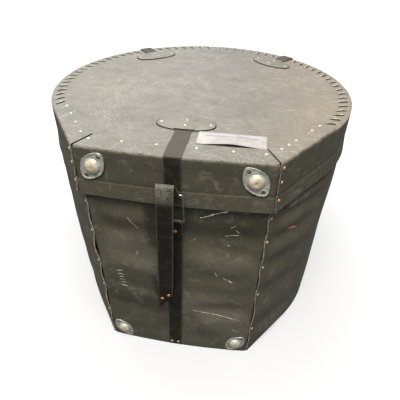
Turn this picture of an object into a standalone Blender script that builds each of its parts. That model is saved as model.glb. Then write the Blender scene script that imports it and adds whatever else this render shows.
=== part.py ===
"""Hard fibre carrying case for a kettledrum: a tall shell with three flat faces at the front,
a telescoping lid, three webbing straps with roller buckles, and four steel glides on the front."""

import math

import bmesh
import bpy
from mathutils import Matrix, Vector

for old in list(bpy.data.objects):
    bpy.data.objects.remove(old, do_unlink=True)

# Driving dimensions, in millimetres and degrees. Front is -Y, up is +Z, z = 0 is the floor.
HEIGHT = 680.0
SHEET = 3.0
GAP = 0.3
LID_EDGE_Z = 561.0
CREASE_Z = 597.0
BOW = 10.0

LID = {"front": 398.0, "side": 404.0, "radius": 404.0, "theta": 54.4}
BODY = {"front": 397.0, "side": 406.5, "radius": 406.5, "theta": 53.0}
BODY_TOP_Z = 668.0
ARC_STEPS = 32

FLANGE = 48.0
LIP = 5.0
DROP = 6.6
RETURN = 36.0
FLANGE_END = 18.0

PANEL_TOP_Z = HEIGHT - SHEET - GAP
PANEL_LOW_Z = PANEL_TOP_Z - SHEET
TRAY_RIM = 32.0

STITCHES = 55
STITCH_FROM, STITCH_TO = -30.0, 210.0

WEB = 38.0
WEB_T = 2.0
BAR_Z, HEEL_Z = 598.0, 518.0
WIRE_R = 2.5
FOLD_Z = 622.0
TAIL_LOW_Z = 231.0

GLIDE_LONG, GLIDE_SHORT = 38.0, 24.0
GLIDE_X, GLIDE_LOW_Z, GLIDE_LID_Z = 171.5, 43.0, 637.0
GLIDE_HOLE = 28.5

RIVET_R, RIVET_H, SHANK_R, HOLE_R = 4.2, 1.8, 1.5, 2.1

drills = {}


# ---------- materials and mesh helpers ----------

def material(name, colour, metallic=0.0, rough=0.6):
    mat = bpy.data.materials.new(name)
    mat.use_nodes = True
    shader = mat.node_tree.nodes["Principled BSDF"]
    shader.inputs["Base Color"].default_value = (*colour, 1.0)
    shader.inputs["Metallic"].default_value = metallic
    shader.inputs["Roughness"].default_value = rough
    return mat


FIBRE = ((0.075, 0.078, 0.072), 0.0, 0.55)
FIBRE_TOP = ((0.10, 0.105, 0.10), 0.0, 0.45)
WEBBING = ((0.02, 0.02, 0.021), 0.0, 0.85)
STEEL = ((0.50, 0.50, 0.47), 0.9, 0.45)
DARK_WIRE = ((0.10, 0.10, 0.10), 0.9, 0.4)
COPPER = ((0.55, 0.27, 0.14), 0.9, 0.4)
PLYWOOD = ((0.50, 0.36, 0.21), 0.0, 0.7)
LACE = ((0.035, 0.033, 0.03), 0.0, 0.7)
PLATE = ((0.70, 0.71, 0.72), 0.6, 0.35)


def node(name, verts, faces, look, origin=(0.0, 0.0, 0.0), smooth=True):
    at = Vector(origin) * 0.001
    mesh = bpy.data.meshes.new(name)
    mesh.from_pydata([Vector(v) * 0.001 - at for v in verts], [], faces)
    bm = bmesh.new()
    bm.from_mesh(mesh)
    bmesh.ops.recalc_face_normals(bm, faces=bm.faces)
    bm.to_mesh(mesh)
    bm.free()
    obj = bpy.data.objects.new(name, mesh)
    obj.location = at
    bpy.context.scene.collection.objects.link(obj)
    obj.data.materials.append(material(name + "_mat", *look))
    if smooth:
        shade(obj)
    return obj


def shade(obj, angle=35.0):
    bm = bmesh.new()
    bm.from_mesh(obj.data)
    for face in bm.faces:
        face.smooth = True
    for edge in bm.edges:
        edge.smooth = len(edge.link_faces) == 2 and edge.calc_face_angle(0.0) < math.radians(angle)
    bm.to_mesh(obj.data)
    bm.free()


def rings(loops, closed_ring=True, closed_path=False):
    """Faces that join equal rings of points; the two ends are capped unless the path is closed."""
    verts = [p for loop in loops for p in loop]
    n, m = len(loops[0]), len(loops)
    faces = []
    for i in range(m if closed_path else m - 1):
        for j in range(n if closed_ring else n - 1):
            a, b = i * n + j, i * n + (j + 1) % n
            c, d = ((i + 1) % m) * n + (j + 1) % n, ((i + 1) % m) * n + j
            faces.append((a, b, c, d))
    if not closed_path:
        faces.append(tuple(range(n)))
        faces.append(tuple((m - 1) * n + j for j in reversed(range(n))))
    return verts, faces


def boolean(obj, verts, faces, operation):
    """Cuts or joins plain geometry, given in millimetres, with this object's mesh."""
    mesh = bpy.data.meshes.new("tool")
    mesh.from_pydata([Vector(v) * 0.001 for v in verts], [], faces)
    bm = bmesh.new()
    bm.from_mesh(mesh)
    bmesh.ops.recalc_face_normals(bm, faces=bm.faces)
    bm.to_mesh(mesh)
    bm.free()
    tool = bpy.data.objects.new("tool", mesh)
    tool.hide_render = True
    tool.display_type = "WIRE"
    bpy.context.scene.collection.objects.link(tool)
    mod = obj.modifiers.new("cut", "BOOLEAN")
    mod.operation = operation
    mod.solver = "EXACT"
    mod.object = tool
    bpy.context.view_layer.update()
    deps = bpy.context.evaluated_depsgraph_get()
    result = bpy.data.meshes.new_from_object(obj.evaluated_get(deps))
    obj.modifiers.remove(mod)
    obj.data = result
    bpy.data.objects.remove(tool, do_unlink=True)


def merge(parts):
    verts, faces = [], []
    for v, f in parts:
        shift = len(verts)
        verts += [tuple(p) for p in v]
        faces += [tuple(i + shift for i in face) for face in f]
    return verts, faces


def frame_at(point, normal, across=None):
    """Matrix whose local Z is the normal and local X is along `across`."""
    z = Vector(normal).normalized()
    x = Vector(across) if across else z.orthogonal()
    x = (x - z * x.dot(z)).normalized()
    y = z.cross(x)
    m = Matrix((x, y, z)).transposed().to_4x4()
    m.translation = Vector(point)
    return m


def lathe(profile, sides, matrix):
    """A solid of revolution about local Z. The profile is (radius, height), from one end to the other."""
    loops = [[matrix @ Vector((r * math.cos(2 * math.pi * k / sides), r * math.sin(2 * math.pi * k / sides), h))
              for k in range(sides)] for r, h in profile]
    return rings(loops)


def box(low, high, matrix=None):
    m = matrix or Matrix.Identity(4)
    corners = [m @ Vector((x, y, z)) for z in (low[2], high[2])
               for x, y in ((low[0], low[1]), (high[0], low[1]), (high[0], high[1]), (low[0], high[1]))]
    return rings([corners[:4], corners[4:]])


def drill(names, point, axis, length, radius=HOLE_R):
    """Remembers a hole along a rivet, to be cut from every sheet it passes through."""
    m = frame_at(point, axis)
    for name in names:
        drills.setdefault(name, []).append(lathe([(radius, -length), (radius, 3.0)], 6, m))


def rivet(point, axis, depth, head=RIVET_R, high=RIVET_H):
    m = frame_at(point, axis)
    return lathe([(SHANK_R, -depth), (SHANK_R, 0.0), (head, 0.0), (head * 0.6, high)], 6, m)


def rivet_set(name, strip, rivets, look, origin=(0, 0, 0)):
    """Rivets clinched on the inner backing strip that joins them."""
    obj = node(name, *strip, look, smooth=False)
    boolean(obj, *merge(rivets), "UNION")
    at = Vector(origin) * 0.001
    obj.data.transform(Matrix.Translation(-at))
    obj.location = at
    shade(obj)
    return obj


# ---------- plan of the case ----------

def corner(front, side, theta):
    t = math.radians(theta)
    return Vector(((side - front * math.cos(t)) / math.sin(t), -front))


def along(theta):
    t = math.radians(theta)
    return Vector((math.cos(t), math.sin(t)))


def foot(front, side, theta):
    """Distance from the corner to the middle of the side line."""
    return -corner(front, side, theta).dot(along(theta))


def side_point(front, side, theta, t):
    return corner(front, side, theta) + along(theta) * t


def front_point(front, side, theta, u):
    """u runs from -1 at the left corner to 1 at the right one."""
    a = corner(front, side, theta).x
    return Vector((a * u, -front - BOW * (1.0 - u * u)))


def rounded(front, side, theta, cut, steps):
    """The right-hand corner, from the front face to the side face."""
    c = corner(front, side, theta)
    a = front_point(front, side, theta, 1.0 - cut / c.x)
    b = c + along(theta) * cut
    return [a * (1 - k) ** 2 + c * 2 * k * (1 - k) + b * k * k for k in steps]


def mirrored(points):
    return [Vector((-p.x, p.y)) for p in reversed(points)]


def arc_points(radius, start, stop, count):
    angles = [math.radians(start + (stop - start) * i / count) for i in range(count + 1)]
    return [Vector((radius * math.cos(a), radius * math.sin(a))) for a in angles]


def full_plan(front, side, radius, theta, cut=6.0):
    """Closed outline, right side first: front, corner, side, arc round the back, side, corner."""
    start = theta - 90.0 + math.degrees(math.acos(min(1.0, side / radius)))
    run = foot(front, side, theta) + math.sqrt(max(0.0, radius ** 2 - side ** 2))
    bend = rounded(front, side, theta, cut, (0.0, 0.33, 0.67, 1.0))
    flat = [side_point(front, side, theta, cut + (run - cut) * k) for k in (0.35, 0.7)]
    arc = arc_points(radius, start, 180.0 - start, ARC_STEPS)
    top = [front_point(front, side, theta, u) for u in (-0.6, -0.3, 0.0, 0.3, 0.6)]
    right = bend + flat
    return top + right + arc + mirrored(right)


def at_z(points, z):
    return [Vector((p.x, p.y, z)) for p in points]


# ---------- body ----------

def body_plan(inset, side_extra=0.0):
    return {"front": BODY["front"] - inset, "side": BODY["side"] - inset - side_extra,
            "theta": BODY["theta"]}


def wall_run(inset):
    """Open path of the side wall: right flat, arc, left flat."""
    p = body_plan(inset)
    radius = BODY["radius"] - inset
    reach = foot(**p)
    start = BODY["theta"] - 90.0
    flat = [side_point(**p, t=2.0 + (reach - 2.0) * k) for k in (0.0, 0.35, 0.7)]
    return flat + arc_points(radius, start, 180.0 - start, ARC_STEPS) + mirrored(flat)


outer, inner = wall_run(0.0), wall_run(SHEET)
node("body_side_wall",
     *rings([[Vector((*o, GAP)), Vector((*o, BODY_TOP_Z)), Vector((*i, BODY_TOP_Z)), Vector((*i, GAP))]
             for o, i in zip(outer, inner)]), FIBRE)


def panel_run(inset):
    """Open path of the front panel: flange behind the left seam, front, flange on the right."""
    p = {"front": BODY["front"] - inset, "side": BODY["side"] - SHEET - GAP - inset, "theta": BODY["theta"]}
    right = rounded(**p, cut=6.0, steps=(0.0, 0.33, 0.67, 1.0)) + [side_point(**p, t=RETURN)]
    return mirrored(right) + [front_point(**p, u=u) for u in (-0.6, -0.3, 0.0, 0.3, 0.6)] + right


outer, inner = panel_run(0.0), panel_run(SHEET)
node("body_front_panel",
     *rings([[Vector((*o, GAP)), Vector((*o, BODY_TOP_Z)), Vector((*i, BODY_TOP_Z)), Vector((*i, GAP))]
             for o, i in zip(outer, inner)]), FIBRE)

tray = {"front": BODY["front"] - SHEET - GAP, "side": BODY["side"] - 2 * (SHEET + GAP),
        "radius": BODY["radius"] - SHEET - 4 * GAP, "theta": BODY["theta"]}
tray_in = {k: v - SHEET if k != "theta" else v for k, v in tray.items()}
outer, inner = full_plan(**tray), full_plan(**tray_in)
node("body_bottom_panel",
     *rings([at_z(outer, 0.0), at_z(outer, TRAY_RIM), at_z(inner, TRAY_RIM), at_z(inner, SHEET)]), FIBRE)

board = {k: v - SHEET - 1.5 if k != "theta" else v for k, v in tray.items()}
board = full_plan(**board)
node("base_board", *rings([at_z(board, SHEET + GAP), at_z(board, SHEET + GAP + 6.0)]), PLYWOOD)


# ---------- lid ----------

SHOULDER = ((7.0, -6.0), (5.2, -1.7), (1.4, 0.0))
UNDER = ((2.8, -3.0), (4.0, -6.0))


def band_profile(place, tip, drop=0.0):
    """One section of a lid band. place(offset) gives the plan point, tip the flange end's plan point."""
    ring = [(place(13.0), LID_EDGE_Z), (place(9.0), CREASE_Z)]
    ring += [(place(o), HEIGHT - drop + z) for o, z in SHOULDER]
    ring += [(tip, HEIGHT - drop), (tip, HEIGHT - drop - SHEET)]
    ring += [(place(o), HEIGHT - drop + z) for o, z in UNDER]
    ring += [(place(6.0), CREASE_Z), (place(10.0), LID_EDGE_Z)]
    return [Vector((p.x, p.y, z)) for p, z in ring]


def lid_side(t):
    return lambda off: side_point(LID["front"] + off, LID["side"] + off, LID["theta"], t)


def lid_arc(degrees):
    a = math.radians(degrees)
    return lambda off: Vector(((LID["radius"] + off) * math.cos(a), (LID["radius"] + off) * math.sin(a)))


reach = foot(LID["front"], LID["side"], LID["theta"])
tangent = LID["theta"] - 90.0
per_degree = math.radians(LID["radius"])
step_angle = tangent + FLANGE_END / per_degree


def side_tip(t):
    """Inner end of the side flange: a mitre at the front corner, running a little past the arc's start."""
    mitre = FLANGE * math.tan(math.radians(LID["theta"] / 2)) + 1.2
    whole = reach + FLANGE_END
    inner = mitre + (whole - 8.0 - mitre) * t / whole
    return side_point(LID["front"] - FLANGE, LID["side"] - FLANGE, LID["theta"],
                      inner - FLANGE * math.tan(math.radians(LID["theta"] / 2)))


half = [band_profile(lid_side(t), side_tip(t)) for t in (2.0, 65.0, 130.0, reach)]
half.append(band_profile(lid_arc(step_angle - 0.55), side_tip(reach + FLANGE_END - 4.0)))
half.append(band_profile(lid_arc(step_angle - 0.45), lid_arc(step_angle - 0.45)(0.7)))
half.append(band_profile(lid_arc(step_angle - 0.2), lid_arc(step_angle - 0.2)(0.7), DROP))
arc = [band_profile(lid_arc(a), lid_arc(a)(-LIP), DROP)
       for a in [step_angle + (180.0 - 2 * step_angle) * i / ARC_STEPS for i in range(ARC_STEPS + 1)]]
left = [[Vector((-p.x, p.y, p.z)) for p in ring] for ring in reversed(half)]
node("lid_side_band", *rings(half + arc + left), FIBRE)


def front_place(u=None, k=None, t=None):
    """Plan point of the front band at an offset: on the front, on the corner bend, or on the flange."""
    def place(off):
        p = (LID["front"] + off, LID["side"] + off - SHEET - GAP, LID["theta"])
        if u is not None:
            return front_point(*p, u)
        if k is not None:
            return rounded(*p, cut=7.0, steps=(k,))[0]
        return side_point(*p, t)
    return place


def front_tip(share):
    a = corner(LID["front"] - FLANGE, LID["side"] - FLANGE, LID["theta"]).x - 1.4
    return Vector((a * share, -(LID["front"] - FLANGE) - BOW * (1.0 - share * share)))


half = [band_profile(front_place(u=u), front_tip(u)) for u in (0.3, 0.6, 0.8)]
half += [band_profile(front_place(k=k), front_tip(s)) for k, s in ((0.0, 0.96), (0.25, 0.98), (0.45, 1.0))]
half.append(band_profile(front_place(k=0.5), front_place(k=0.5)(1.3)))
half.append(band_profile(front_place(k=0.68), front_place(k=0.68)(1.3), DROP))
half += [band_profile(front_place(k=k), front_place(k=k)(-1.5), DROP) for k in (0.75, 1.0)]
half.append(band_profile(front_place(t=RETURN), front_place(t=RETURN)(-LIP), DROP))
left = [[Vector((-p.x, p.y, p.z)) for p in ring] for ring in reversed(half)]
node("lid_front_band", *rings(left + [band_profile(front_place(u=0.0), front_tip(0.0))] + half), FIBRE)


def panel_plan(extra, inset):
    """Top panel: tucked under the front and side flanges, out to the rim round the back."""
    p = {"front": LID["front"] + 0.2 - inset, "side": LID["side"] + 0.2 - inset, "theta": LID["theta"]}
    right = rounded(**p, cut=12.0, steps=(0.0, 0.5, 1.0)) + [side_point(**p, t=t) for t in (70.0, 140.0)]
    right += arc_points(p["side"], tangent, step_angle + 0.3, 1)
    start = step_angle + 0.6
    arc = arc_points(LID["radius"] + extra, start, 180.0 - start, ARC_STEPS)
    return [front_point(**p, u=u) for u in (-0.6, -0.3, 0.0, 0.3, 0.6)] + right + arc + mirrored(right)


node("lid_top_panel",
     *rings([at_z(panel_plan(7.0, 0.0), PANEL_LOW_Z), at_z(panel_plan(7.0, 0.0), PANEL_TOP_Z - 1.2),
             at_z(panel_plan(5.8, 0.2), PANEL_TOP_Z)]), FIBRE_TOP)

pitch = (STITCH_TO - STITCH_FROM) / (STITCHES - 1)
outline = []
for i in range(STITCHES):
    a = STITCH_FROM + pitch * i
    outline += [(399.0, a - 0.28), (377.0, a - 0.22), (377.0, a + 0.22), (399.0, a + 0.28)]
outline += [(404.0, STITCH_FROM + pitch * i) for i in reversed(range(0, STITCHES, 3))]
outline = [Vector((r * math.cos(math.radians(a)), r * math.sin(math.radians(a)))) for r, a in outline]
node("lid_lacing", *rings([at_z(outline, PANEL_TOP_Z + GAP), at_z(outline, PANEL_TOP_Z + GAP + 1.6)]),
     LACE, smooth=False)


# ---------- rivet rows ----------

BODY_RIVETS = {1: (530.0, 458.0, 372.0, 267.0, 112.0), -1: (524.0, 432.0, 323.0, 228.0, 112.0)}
LID_RIVETS = (666.5, 633.0, 588.0)
FRONT_FLANGE_X = (-188.0, -115.0, -40.5, 44.5, 120.0, 186.0)
SIDE_FLANGE_T = {1: (47.0, 73.0, 101.0, 167.0, 201.0), -1: (47.0, 100.0, 153.0, 201.0)}


def side_frame(theta, sx):
    t = math.radians(theta)
    return Vector((sx * math.sin(t), -math.cos(t), 0.0)), Vector((sx * math.cos(t), math.sin(t), 0.0))


for sx, tag in ((1, "right"), (-1, "left")):
    normal, back = side_frame(BODY["theta"], sx)
    spot = side_point(BODY["front"], BODY["side"], BODY["theta"], 9.0)
    pins = []
    for z in BODY_RIVETS[sx]:
        at = Vector((sx * spot.x, spot.y, z))
        drill(("body_side_wall", "body_front_panel"), at, normal, 9.0)
        pins.append(rivet(at + normal * GAP, normal, 7.9, high=2.2))
    m = frame_at(Vector((sx * spot.x, spot.y, 0.0)), normal, (0, 0, 1))
    strip = box((100.0, -7.0, -8.1), (542.0, 7.0, -6.9), m)
    rivet_set(f"body_seam_rivets_{tag}", strip, pins, COPPER)

    normal, back = side_frame(LID["theta"], sx)
    pins = []
    for z, off in zip(LID_RIVETS, (7.0, 8.0, 9.9)):
        spot = side_point(LID["front"] + off, LID["side"] + off, LID["theta"], 11.0)
        at = Vector((sx * spot.x, spot.y, z))
        drill(("lid_side_band", "lid_front_band"), at, normal, off + 6.0)
        pins.append(rivet(at + normal * 0.9, normal, off + 1.1, high=2.2))
    spot = side_point(LID["front"], LID["side"], LID["theta"], 11.0)
    m = frame_at(Vector((sx * spot.x, spot.y, 0.0)), normal, (0, 0, 1))
    rivet_set(f"lid_seam_rivets_{tag}", box((580.0, -6.0, -0.6), (668.2, 6.0, 0.2), m), pins, COPPER)

    line = side_point(LID["front"] - 27.0, LID["side"] - 27.0, LID["theta"], 0.0)
    shift = 27.0 * math.tan(math.radians(LID["theta"] / 2))
    pins = []
    for t in SIDE_FLANGE_T[sx]:
        spot = side_point(LID["front"] - 27.0, LID["side"] - 27.0, LID["theta"], t - shift)
        at = Vector((sx * spot.x, spot.y, HEIGHT))
        drill(("lid_side_band", "lid_top_panel"), at, (0, 0, 1), 9.0)
        pins.append(rivet(at + Vector((0, 0, GAP)), (0, 0, 1), 7.5, head=3.6, high=1.5))
    m = frame_at(Vector((sx * line.x, line.y, HEIGHT)), (0, 0, 1), back)
    low, high = SIDE_FLANGE_T[sx][0] - shift - 7.0, SIDE_FLANGE_T[sx][-1] - shift + 7.0
    rivet_set(f"lid_side_flange_rivets_{tag}", box((low, -5.0, -7.8), (high, 5.0, -6.6), m), pins, STEEL)

pins = []
for x in FRONT_FLANGE_X:
    at = Vector((x, -372.0, HEIGHT))
    drill(("lid_front_band", "lid_top_panel"), at, (0, 0, 1), 9.0)
    pins.append(rivet(at + Vector((0, 0, GAP)), (0, 0, 1), 7.5, head=3.6, high=1.5))
rivet_set("lid_front_flange_rivets", box((-194.0, -377.0, HEIGHT - 7.8), (192.0, -367.0, HEIGHT - 6.6)),
          pins, STEEL)


# ---------- glides on the front ----------

def glide(name, x, z, surface, lean, sheets, depth):
    """A rounded diamond flange with a domed middle. surface is the sheet's front offset at z."""
    front, side, theta, tilt = surface
    spot = front_point(front, side, theta, x / corner(front, side, theta).x)
    normal = Vector((2 * BOW * x / corner(front, side, theta).x ** 2, -1.0, tilt)).normalized()
    axis = Vector((math.cos(lean), 0.0, math.sin(lean)))
    m = frame_at(Vector((spot.x, spot.y, z)) + normal * 0.45, normal, axis)
    sides = 20
    rim = []
    for k in range(sides):
        a = 2 * math.pi * k / sides
        c, s = math.cos(a), math.sin(a)
        r = (abs(c / GLIDE_LONG) ** 1.45 + abs(s / GLIDE_SHORT) ** 1.45) ** (-1 / 1.45)
        rim.append((c * r, s * r))
    loops = [[m @ Vector((p[0], p[1], 0.0)) for p in rim],
             [m @ Vector((p[0], p[1], 1.5)) for p in rim]]
    for r, h in ((16.5, 2.0), (15.4, 6.0), (11.5, 9.2), (5.5, 10.8)):
        loops.append([m @ Vector((r * math.cos(2 * math.pi * k / sides), r * math.sin(2 * math.pi * k / sides), h))
                      for k in range(sides)])
    node(name, *rings(loops), STEEL)
    pins = []
    for s in (-GLIDE_HOLE, GLIDE_HOLE):
        at = m @ Vector((s, 0.0, 0.0))
        drill((name,) + sheets, at, normal, depth + 3.0)
        pins.append(rivet(m @ Vector((s, 0.0, 2.0)), normal, depth + 2.4, head=4.6, high=2.0))
    bar = box((-GLIDE_HOLE - 5.0, -5.0, -depth - 1.0), (GLIDE_HOLE + 5.0, 5.0, -depth), m)
    rivet_set(name + "_rivets", bar, pins, STEEL)


lid_skin = (LID["front"] + 8.0, LID["side"] + 8.0, LID["theta"], 0.026)
body_skin = (BODY["front"], BODY["side"], BODY["theta"], 0.0)
tilt = math.radians(54.0)
glide("glide_lid_left", -GLIDE_X, GLIDE_LID_Z, lid_skin, tilt, ("lid_front_band",), 5.2)
glide("glide_lid_right", GLIDE_X, GLIDE_LID_Z, lid_skin, -tilt, ("lid_front_band",), 5.2)
low_sheets = ("body_front_panel", "body_bottom_panel")
glide("glide_bottom_left", -GLIDE_X, GLIDE_LOW_Z, body_skin, -tilt, low_sheets, 8.6)
glide("glide_bottom_right", GLIDE_X, GLIDE_LOW_Z, body_skin, tilt, low_sheets, 8.6)


# ---------- blank nameplate ----------

PLATE_X, PLATE_Y = (38.0, 187.0), (-348.0, -292.0)
xs = [PLATE_X[0] + (PLATE_X[1] - PLATE_X[0]) * i / 6 for i in range(7)]
lift = [3.0 * math.sin(math.pi * i / 6) ** 1.5 for i in range(7)]
loops = []
for x, h in zip(xs, lift):
    z = PANEL_TOP_Z + GAP
    loops.append([Vector((x, PLATE_Y[0], z + h)), Vector((x, PLATE_Y[1], z + h * 0.35)),
                  Vector((x, PLATE_Y[1], z + h * 0.35 + 0.8)), Vector((x, PLATE_Y[0], z + h + 0.8))])
node("nameplate", *rings(loops), PLATE)
pins = []
for x in (PLATE_X[0] + 5.0, PLATE_X[1] - 5.0):
    for y in (PLATE_Y[0] + 6.0, PLATE_Y[1] - 6.0):
        at = Vector((x, y, PANEL_TOP_Z))
        drill(("nameplate", "lid_top_panel"), at, (0, 0, 1), 6.0)
        pins.append(rivet(at + Vector((0, 0, 2.2)), (0, 0, 1), 6.0, head=2.9, high=1.2))
rivet_set("nameplate_rivets", box((PLATE_X[0], PLATE_Y[0] + 1.0, PANEL_LOW_Z - 1.2),
                                  (PLATE_X[1], PLATE_Y[1] - 1.0, PANEL_LOW_Z - 0.4)), pins, STEEL)


# ---------- strap sets ----------

def ribbon(path, place, width=WEB, ends=(0.0, 0.0)):
    """A flat strip along a path of (across, out, up, thickness). ends skew the two cut ends."""
    loops = []
    last = len(path) - 1
    for i, (u, n, z, t) in enumerate(path):
        before, after = path[max(0, i - 1)], path[min(last, i + 1)]
        d1 = Vector((n - before[1], z - before[2])) if i else None
        d2 = Vector((after[1] - n, after[2] - z)) if i < last else None
        d1 = (d1 or d2).normalized()
        d2 = (d2 or d1).normalized()
        d = (d1 + d2).normalized()
        side = Vector((d.y, -d.x)) / max(0.6, d.dot(d2))
        skew = ends[0] if i == 0 else ends[1] if i == last else 0.0
        loop = []
        for s, w in ((-0.5, -0.5), (-0.5, 0.5), (0.5, 0.5), (0.5, -0.5)):
            out = n + side.x * t * s
            up = z + side.y * t * s + skew * w
            loop.append(place(u + width * w, out, up))
        loops.append(loop)
    return rings(loops)


def strap_set(tag, azimuth, shift, plate_out, u0, aside, lean, low_lean, front_set):
    """One strap with its buckle. Local axes: across, out from the body wall, up."""
    a = math.radians(azimuth)
    n = Vector((math.cos(a), math.sin(a), 0.0))
    across = Vector((-n.y, n.x, 0.0))
    wall = BODY["front"] + BOW if front_set else BODY["radius"]

    def place(u, out, up):
        return n * (wall + out) + across * (u + u0) + Vector((0.0, 0.0, up))

    top = PANEL_TOP_Z + GAP + WEB_T / 2

    # anchor plate and its rivets, with the backing plate inside the lid
    mid = place(0.0, plate_out, PANEL_TOP_Z + GAP)
    m = frame_at(mid, (0, 0, 1), across)
    oval = []
    for k in range(24):
        b = 2 * math.pi * k / 24
        c, s = math.cos(b), math.sin(b)
        r = (abs(c / 70.0) ** 2.2 + abs(s / 34.0) ** 2.2) ** (-1 / 2.2)
        oval.append((c * r, s * r))
    plate = node(f"{tag}_anchor_plate",
                 *rings([[m @ Vector((x, y, 0.0)) for x, y in oval], [m @ Vector((x, y, 3.9)) for x, y in oval],
                         [m @ Vector((x * 0.975, y * 0.96, 4.7)) for x, y in oval]]), FIBRE)
    # local +Y of the plate points away from the case's edge for this frame, so the channel opens at -Y
    side = 1.0 if (m.to_3x3() @ Vector((0, 1, 0))).dot(n) > 0 else -1.0
    cut = sorted((side * 40.0, side * -29.0))
    boolean(plate, *box((-WEB / 2 - 0.6, cut[0], -1.0), (WEB / 2 + 0.6, cut[1], WEB_T + 0.3), m), "DIFFERENCE")
    shade(plate)
    pins = []
    for x, y in ((-58.0, 0.0), (58.0, 0.0), (0.0, -14.0), (0.0, 14.0)):
        at = m @ Vector((x, y, 4.7))
        names = (f"{tag}_anchor_plate", "lid_top_panel") + ((f"{tag}_upper_strap",) if x == 0.0 else ())
        drill(names, at, (0, 0, 1), 10.0)
        pins.append(rivet(at + Vector((0, 0, GAP)), (0, 0, 1), 9.3, head=4.4, high=1.9))
    rivet_set(f"{tag}_anchor_rivets", box((-64.0, -19.0, -4.9), (64.0, 19.0, -3.9), m), pins, STEEL)

    # upper strap: out from under the plate, over the rim and down the skirt, to end behind the roller
    if front_set:
        rim = [(-57.0, top), (-49.5, HEIGHT + 1.4), (0.0, HEIGHT + 1.4), (3.6, HEIGHT + 1.35),
               (7.4, HEIGHT + 0.1), (9.3, HEIGHT - 2.6)]
    else:
        rim = [(-41.0, top), (-33.5, HEIGHT + 0.05), (1.5, HEIGHT + 0.05), (4.2, HEIGHT - 0.5), (5.9, HEIGHT - 2.6)]
    path = [(0.0, plate_out - 27.0, top, WEB_T)] + [(0.0, o, z, WEB_T) for o, z in rim]
    path += [(0.0, 9.6 + shift, HEIGHT - 9.0, WEB_T), (0.0, 11.6 + shift, CREASE_Z, WEB_T),
             (0.0, 12.75 + shift, 584.0, WEB_T)]
    node(f"{tag}_upper_strap", *ribbon(path, place), WEBBING)

    # buckle: a bent wire frame whose top bar carries the roller, hung on the lower strap by its heel bar
    bar, heel = (22.0 + shift, BAR_Z), (13.5 + shift, HEEL_Z)
    half_w, r = WEB / 2 + 1.5 + WIRE_R, 4.5
    down = Vector((heel[0] - bar[0], heel[1] - bar[1]))
    length = down.length
    down.normalize()
    flat = []
    for cu, cv, b0 in ((half_w - r, r, -90.0), (half_w - r, length - r, 0.0),
                       (-half_w + r, length - r, 90.0), (-half_w + r, r, 180.0)):
        flat += [(cu + r * math.cos(math.radians(b0 + b)), cv + r * math.sin(math.radians(b0 + b)), b0 + b)
                 for b in (0.0, 45.0, 90.0)]
    out_dir = Vector((-down.y, down.x))
    if out_dir.x < 0:
        out_dir = -out_dir
    loops = []
    for cu, cv, b in flat:
        loop = []
        for k in range(12):
            g = 2 * math.pi * k / 12
            rad = WIRE_R * math.cos(g)
            lift = WIRE_R * math.sin(g)
            pu = cu + rad * math.cos(math.radians(b))
            pv = cv + rad * math.sin(math.radians(b))
            loop.append(place(pu, bar[0] + down.x * pv + out_dir.x * lift,
                              bar[1] + down.y * pv + out_dir.y * lift))
        loops.append(loop)
    node(f"{tag}_buckle_frame", *rings(loops, closed_path=True), DARK_WIRE, origin=place(0.0, *heel))
    centre = place(0.0, *bar)
    m = frame_at(centre, across)
    bore = (WIRE_R + 0.05) / math.cos(math.pi / 12)
    tube = []
    for rad, h in ((bore, -WEB / 2 + 3.6), (4.2, -WEB / 2 + 3.6), (4.2, WEB / 2 - 3.6), (bore, WEB / 2 - 3.6)):
        tube.append([m @ Vector((rad * math.cos(2 * math.pi * k / 12), rad * math.sin(2 * math.pi * k / 12), h))
                     for k in range(12)])
    node(f"{tag}_roller", *rings(tube, closed_path=True), STEEL, origin=centre)

    # webbing wrapped under the roller
    wrap = 4.2 + 0.5 + WEB_T / 2
    path = [(0.0, bar[0] - wrap, bar[1] + 4.0, WEB_T)]
    path += [(0.0, bar[0] + wrap * math.cos(math.radians(b)), bar[1] + wrap * math.sin(math.radians(b)), WEB_T)
             for b in (180, 210, 240, 270, 300, 330, 360)]
    path += [(0.7 * aside, bar[0] + wrap, FOLD_Z - 2.0, WEB_T)]
    node(f"{tag}_strap_loop", *ribbon(path, place, width=WEB - 0.5), WEBBING, origin=place(0.0, *heel))

    # tail: folded over the top of the buckle and hanging down in front
    fold = (34.0 + shift, FOLD_Z)
    low_z = TAIL_LOW_Z
    sway = lambda z: aside + lean * (FOLD_Z - z) / (FOLD_Z - low_z)
    path = []
    for b in (140, 115, 90, 65, 40, 15):
        path.append((aside, fold[0] + 6.3 * math.cos(math.radians(b)), fold[1] + 6.3 * math.sin(math.radians(b)), WEB_T))
    for out, z in ((40.2, 613.0), (39.4, 565.0), (34.5, 490.0), (28.0, 410.0), (23.0, 335.0)):
        path.append((sway(z), out + shift, z, WEB_T))
    path.append((sway(302.0), 21.6 + shift, 302.0, WEB_T))
    path.append((sway(298.0), 21.4 + shift, 298.0, 2 * WEB_T + 0.4))
    path.append((sway(low_z), 20.0 + shift, low_z, 2 * WEB_T + 0.4))
    node(f"{tag}_tail", *ribbon(path, place, ends=(0.0, 56.0)), WEBBING, origin=place(0.0, *fold))
    pins = []
    tip = Vector((20.6 + shift, 256.0))
    normal = (n - Vector((0, 0, 0.0237))).normalized()
    spots = []
    for du, dz in ((-8.5, -7.0), (8.5, 9.0)):
        z = tip.y + dz
        out = 20.0 + shift + 1.4 * (z - low_z) / 59.0
        at = place(sway(z) + du, out, z) + normal * 2.2
        drill((f"{tag}_tail",), at, normal, 9.0)
        pins.append(rivet(at + normal * GAP, normal, 5.6, head=4.6, high=1.8))
        spots.append(at)
    middle = (spots[0] + spots[1]) / 2
    m = frame_at(middle, normal, spots[1] - spots[0])
    rivet_set(f"{tag}_tail_rivets", box((-16.0, -4.0, -5.8), (16.0, 4.0, -4.9), m), pins, COPPER,
              origin=place(0.0, *fold))

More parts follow.
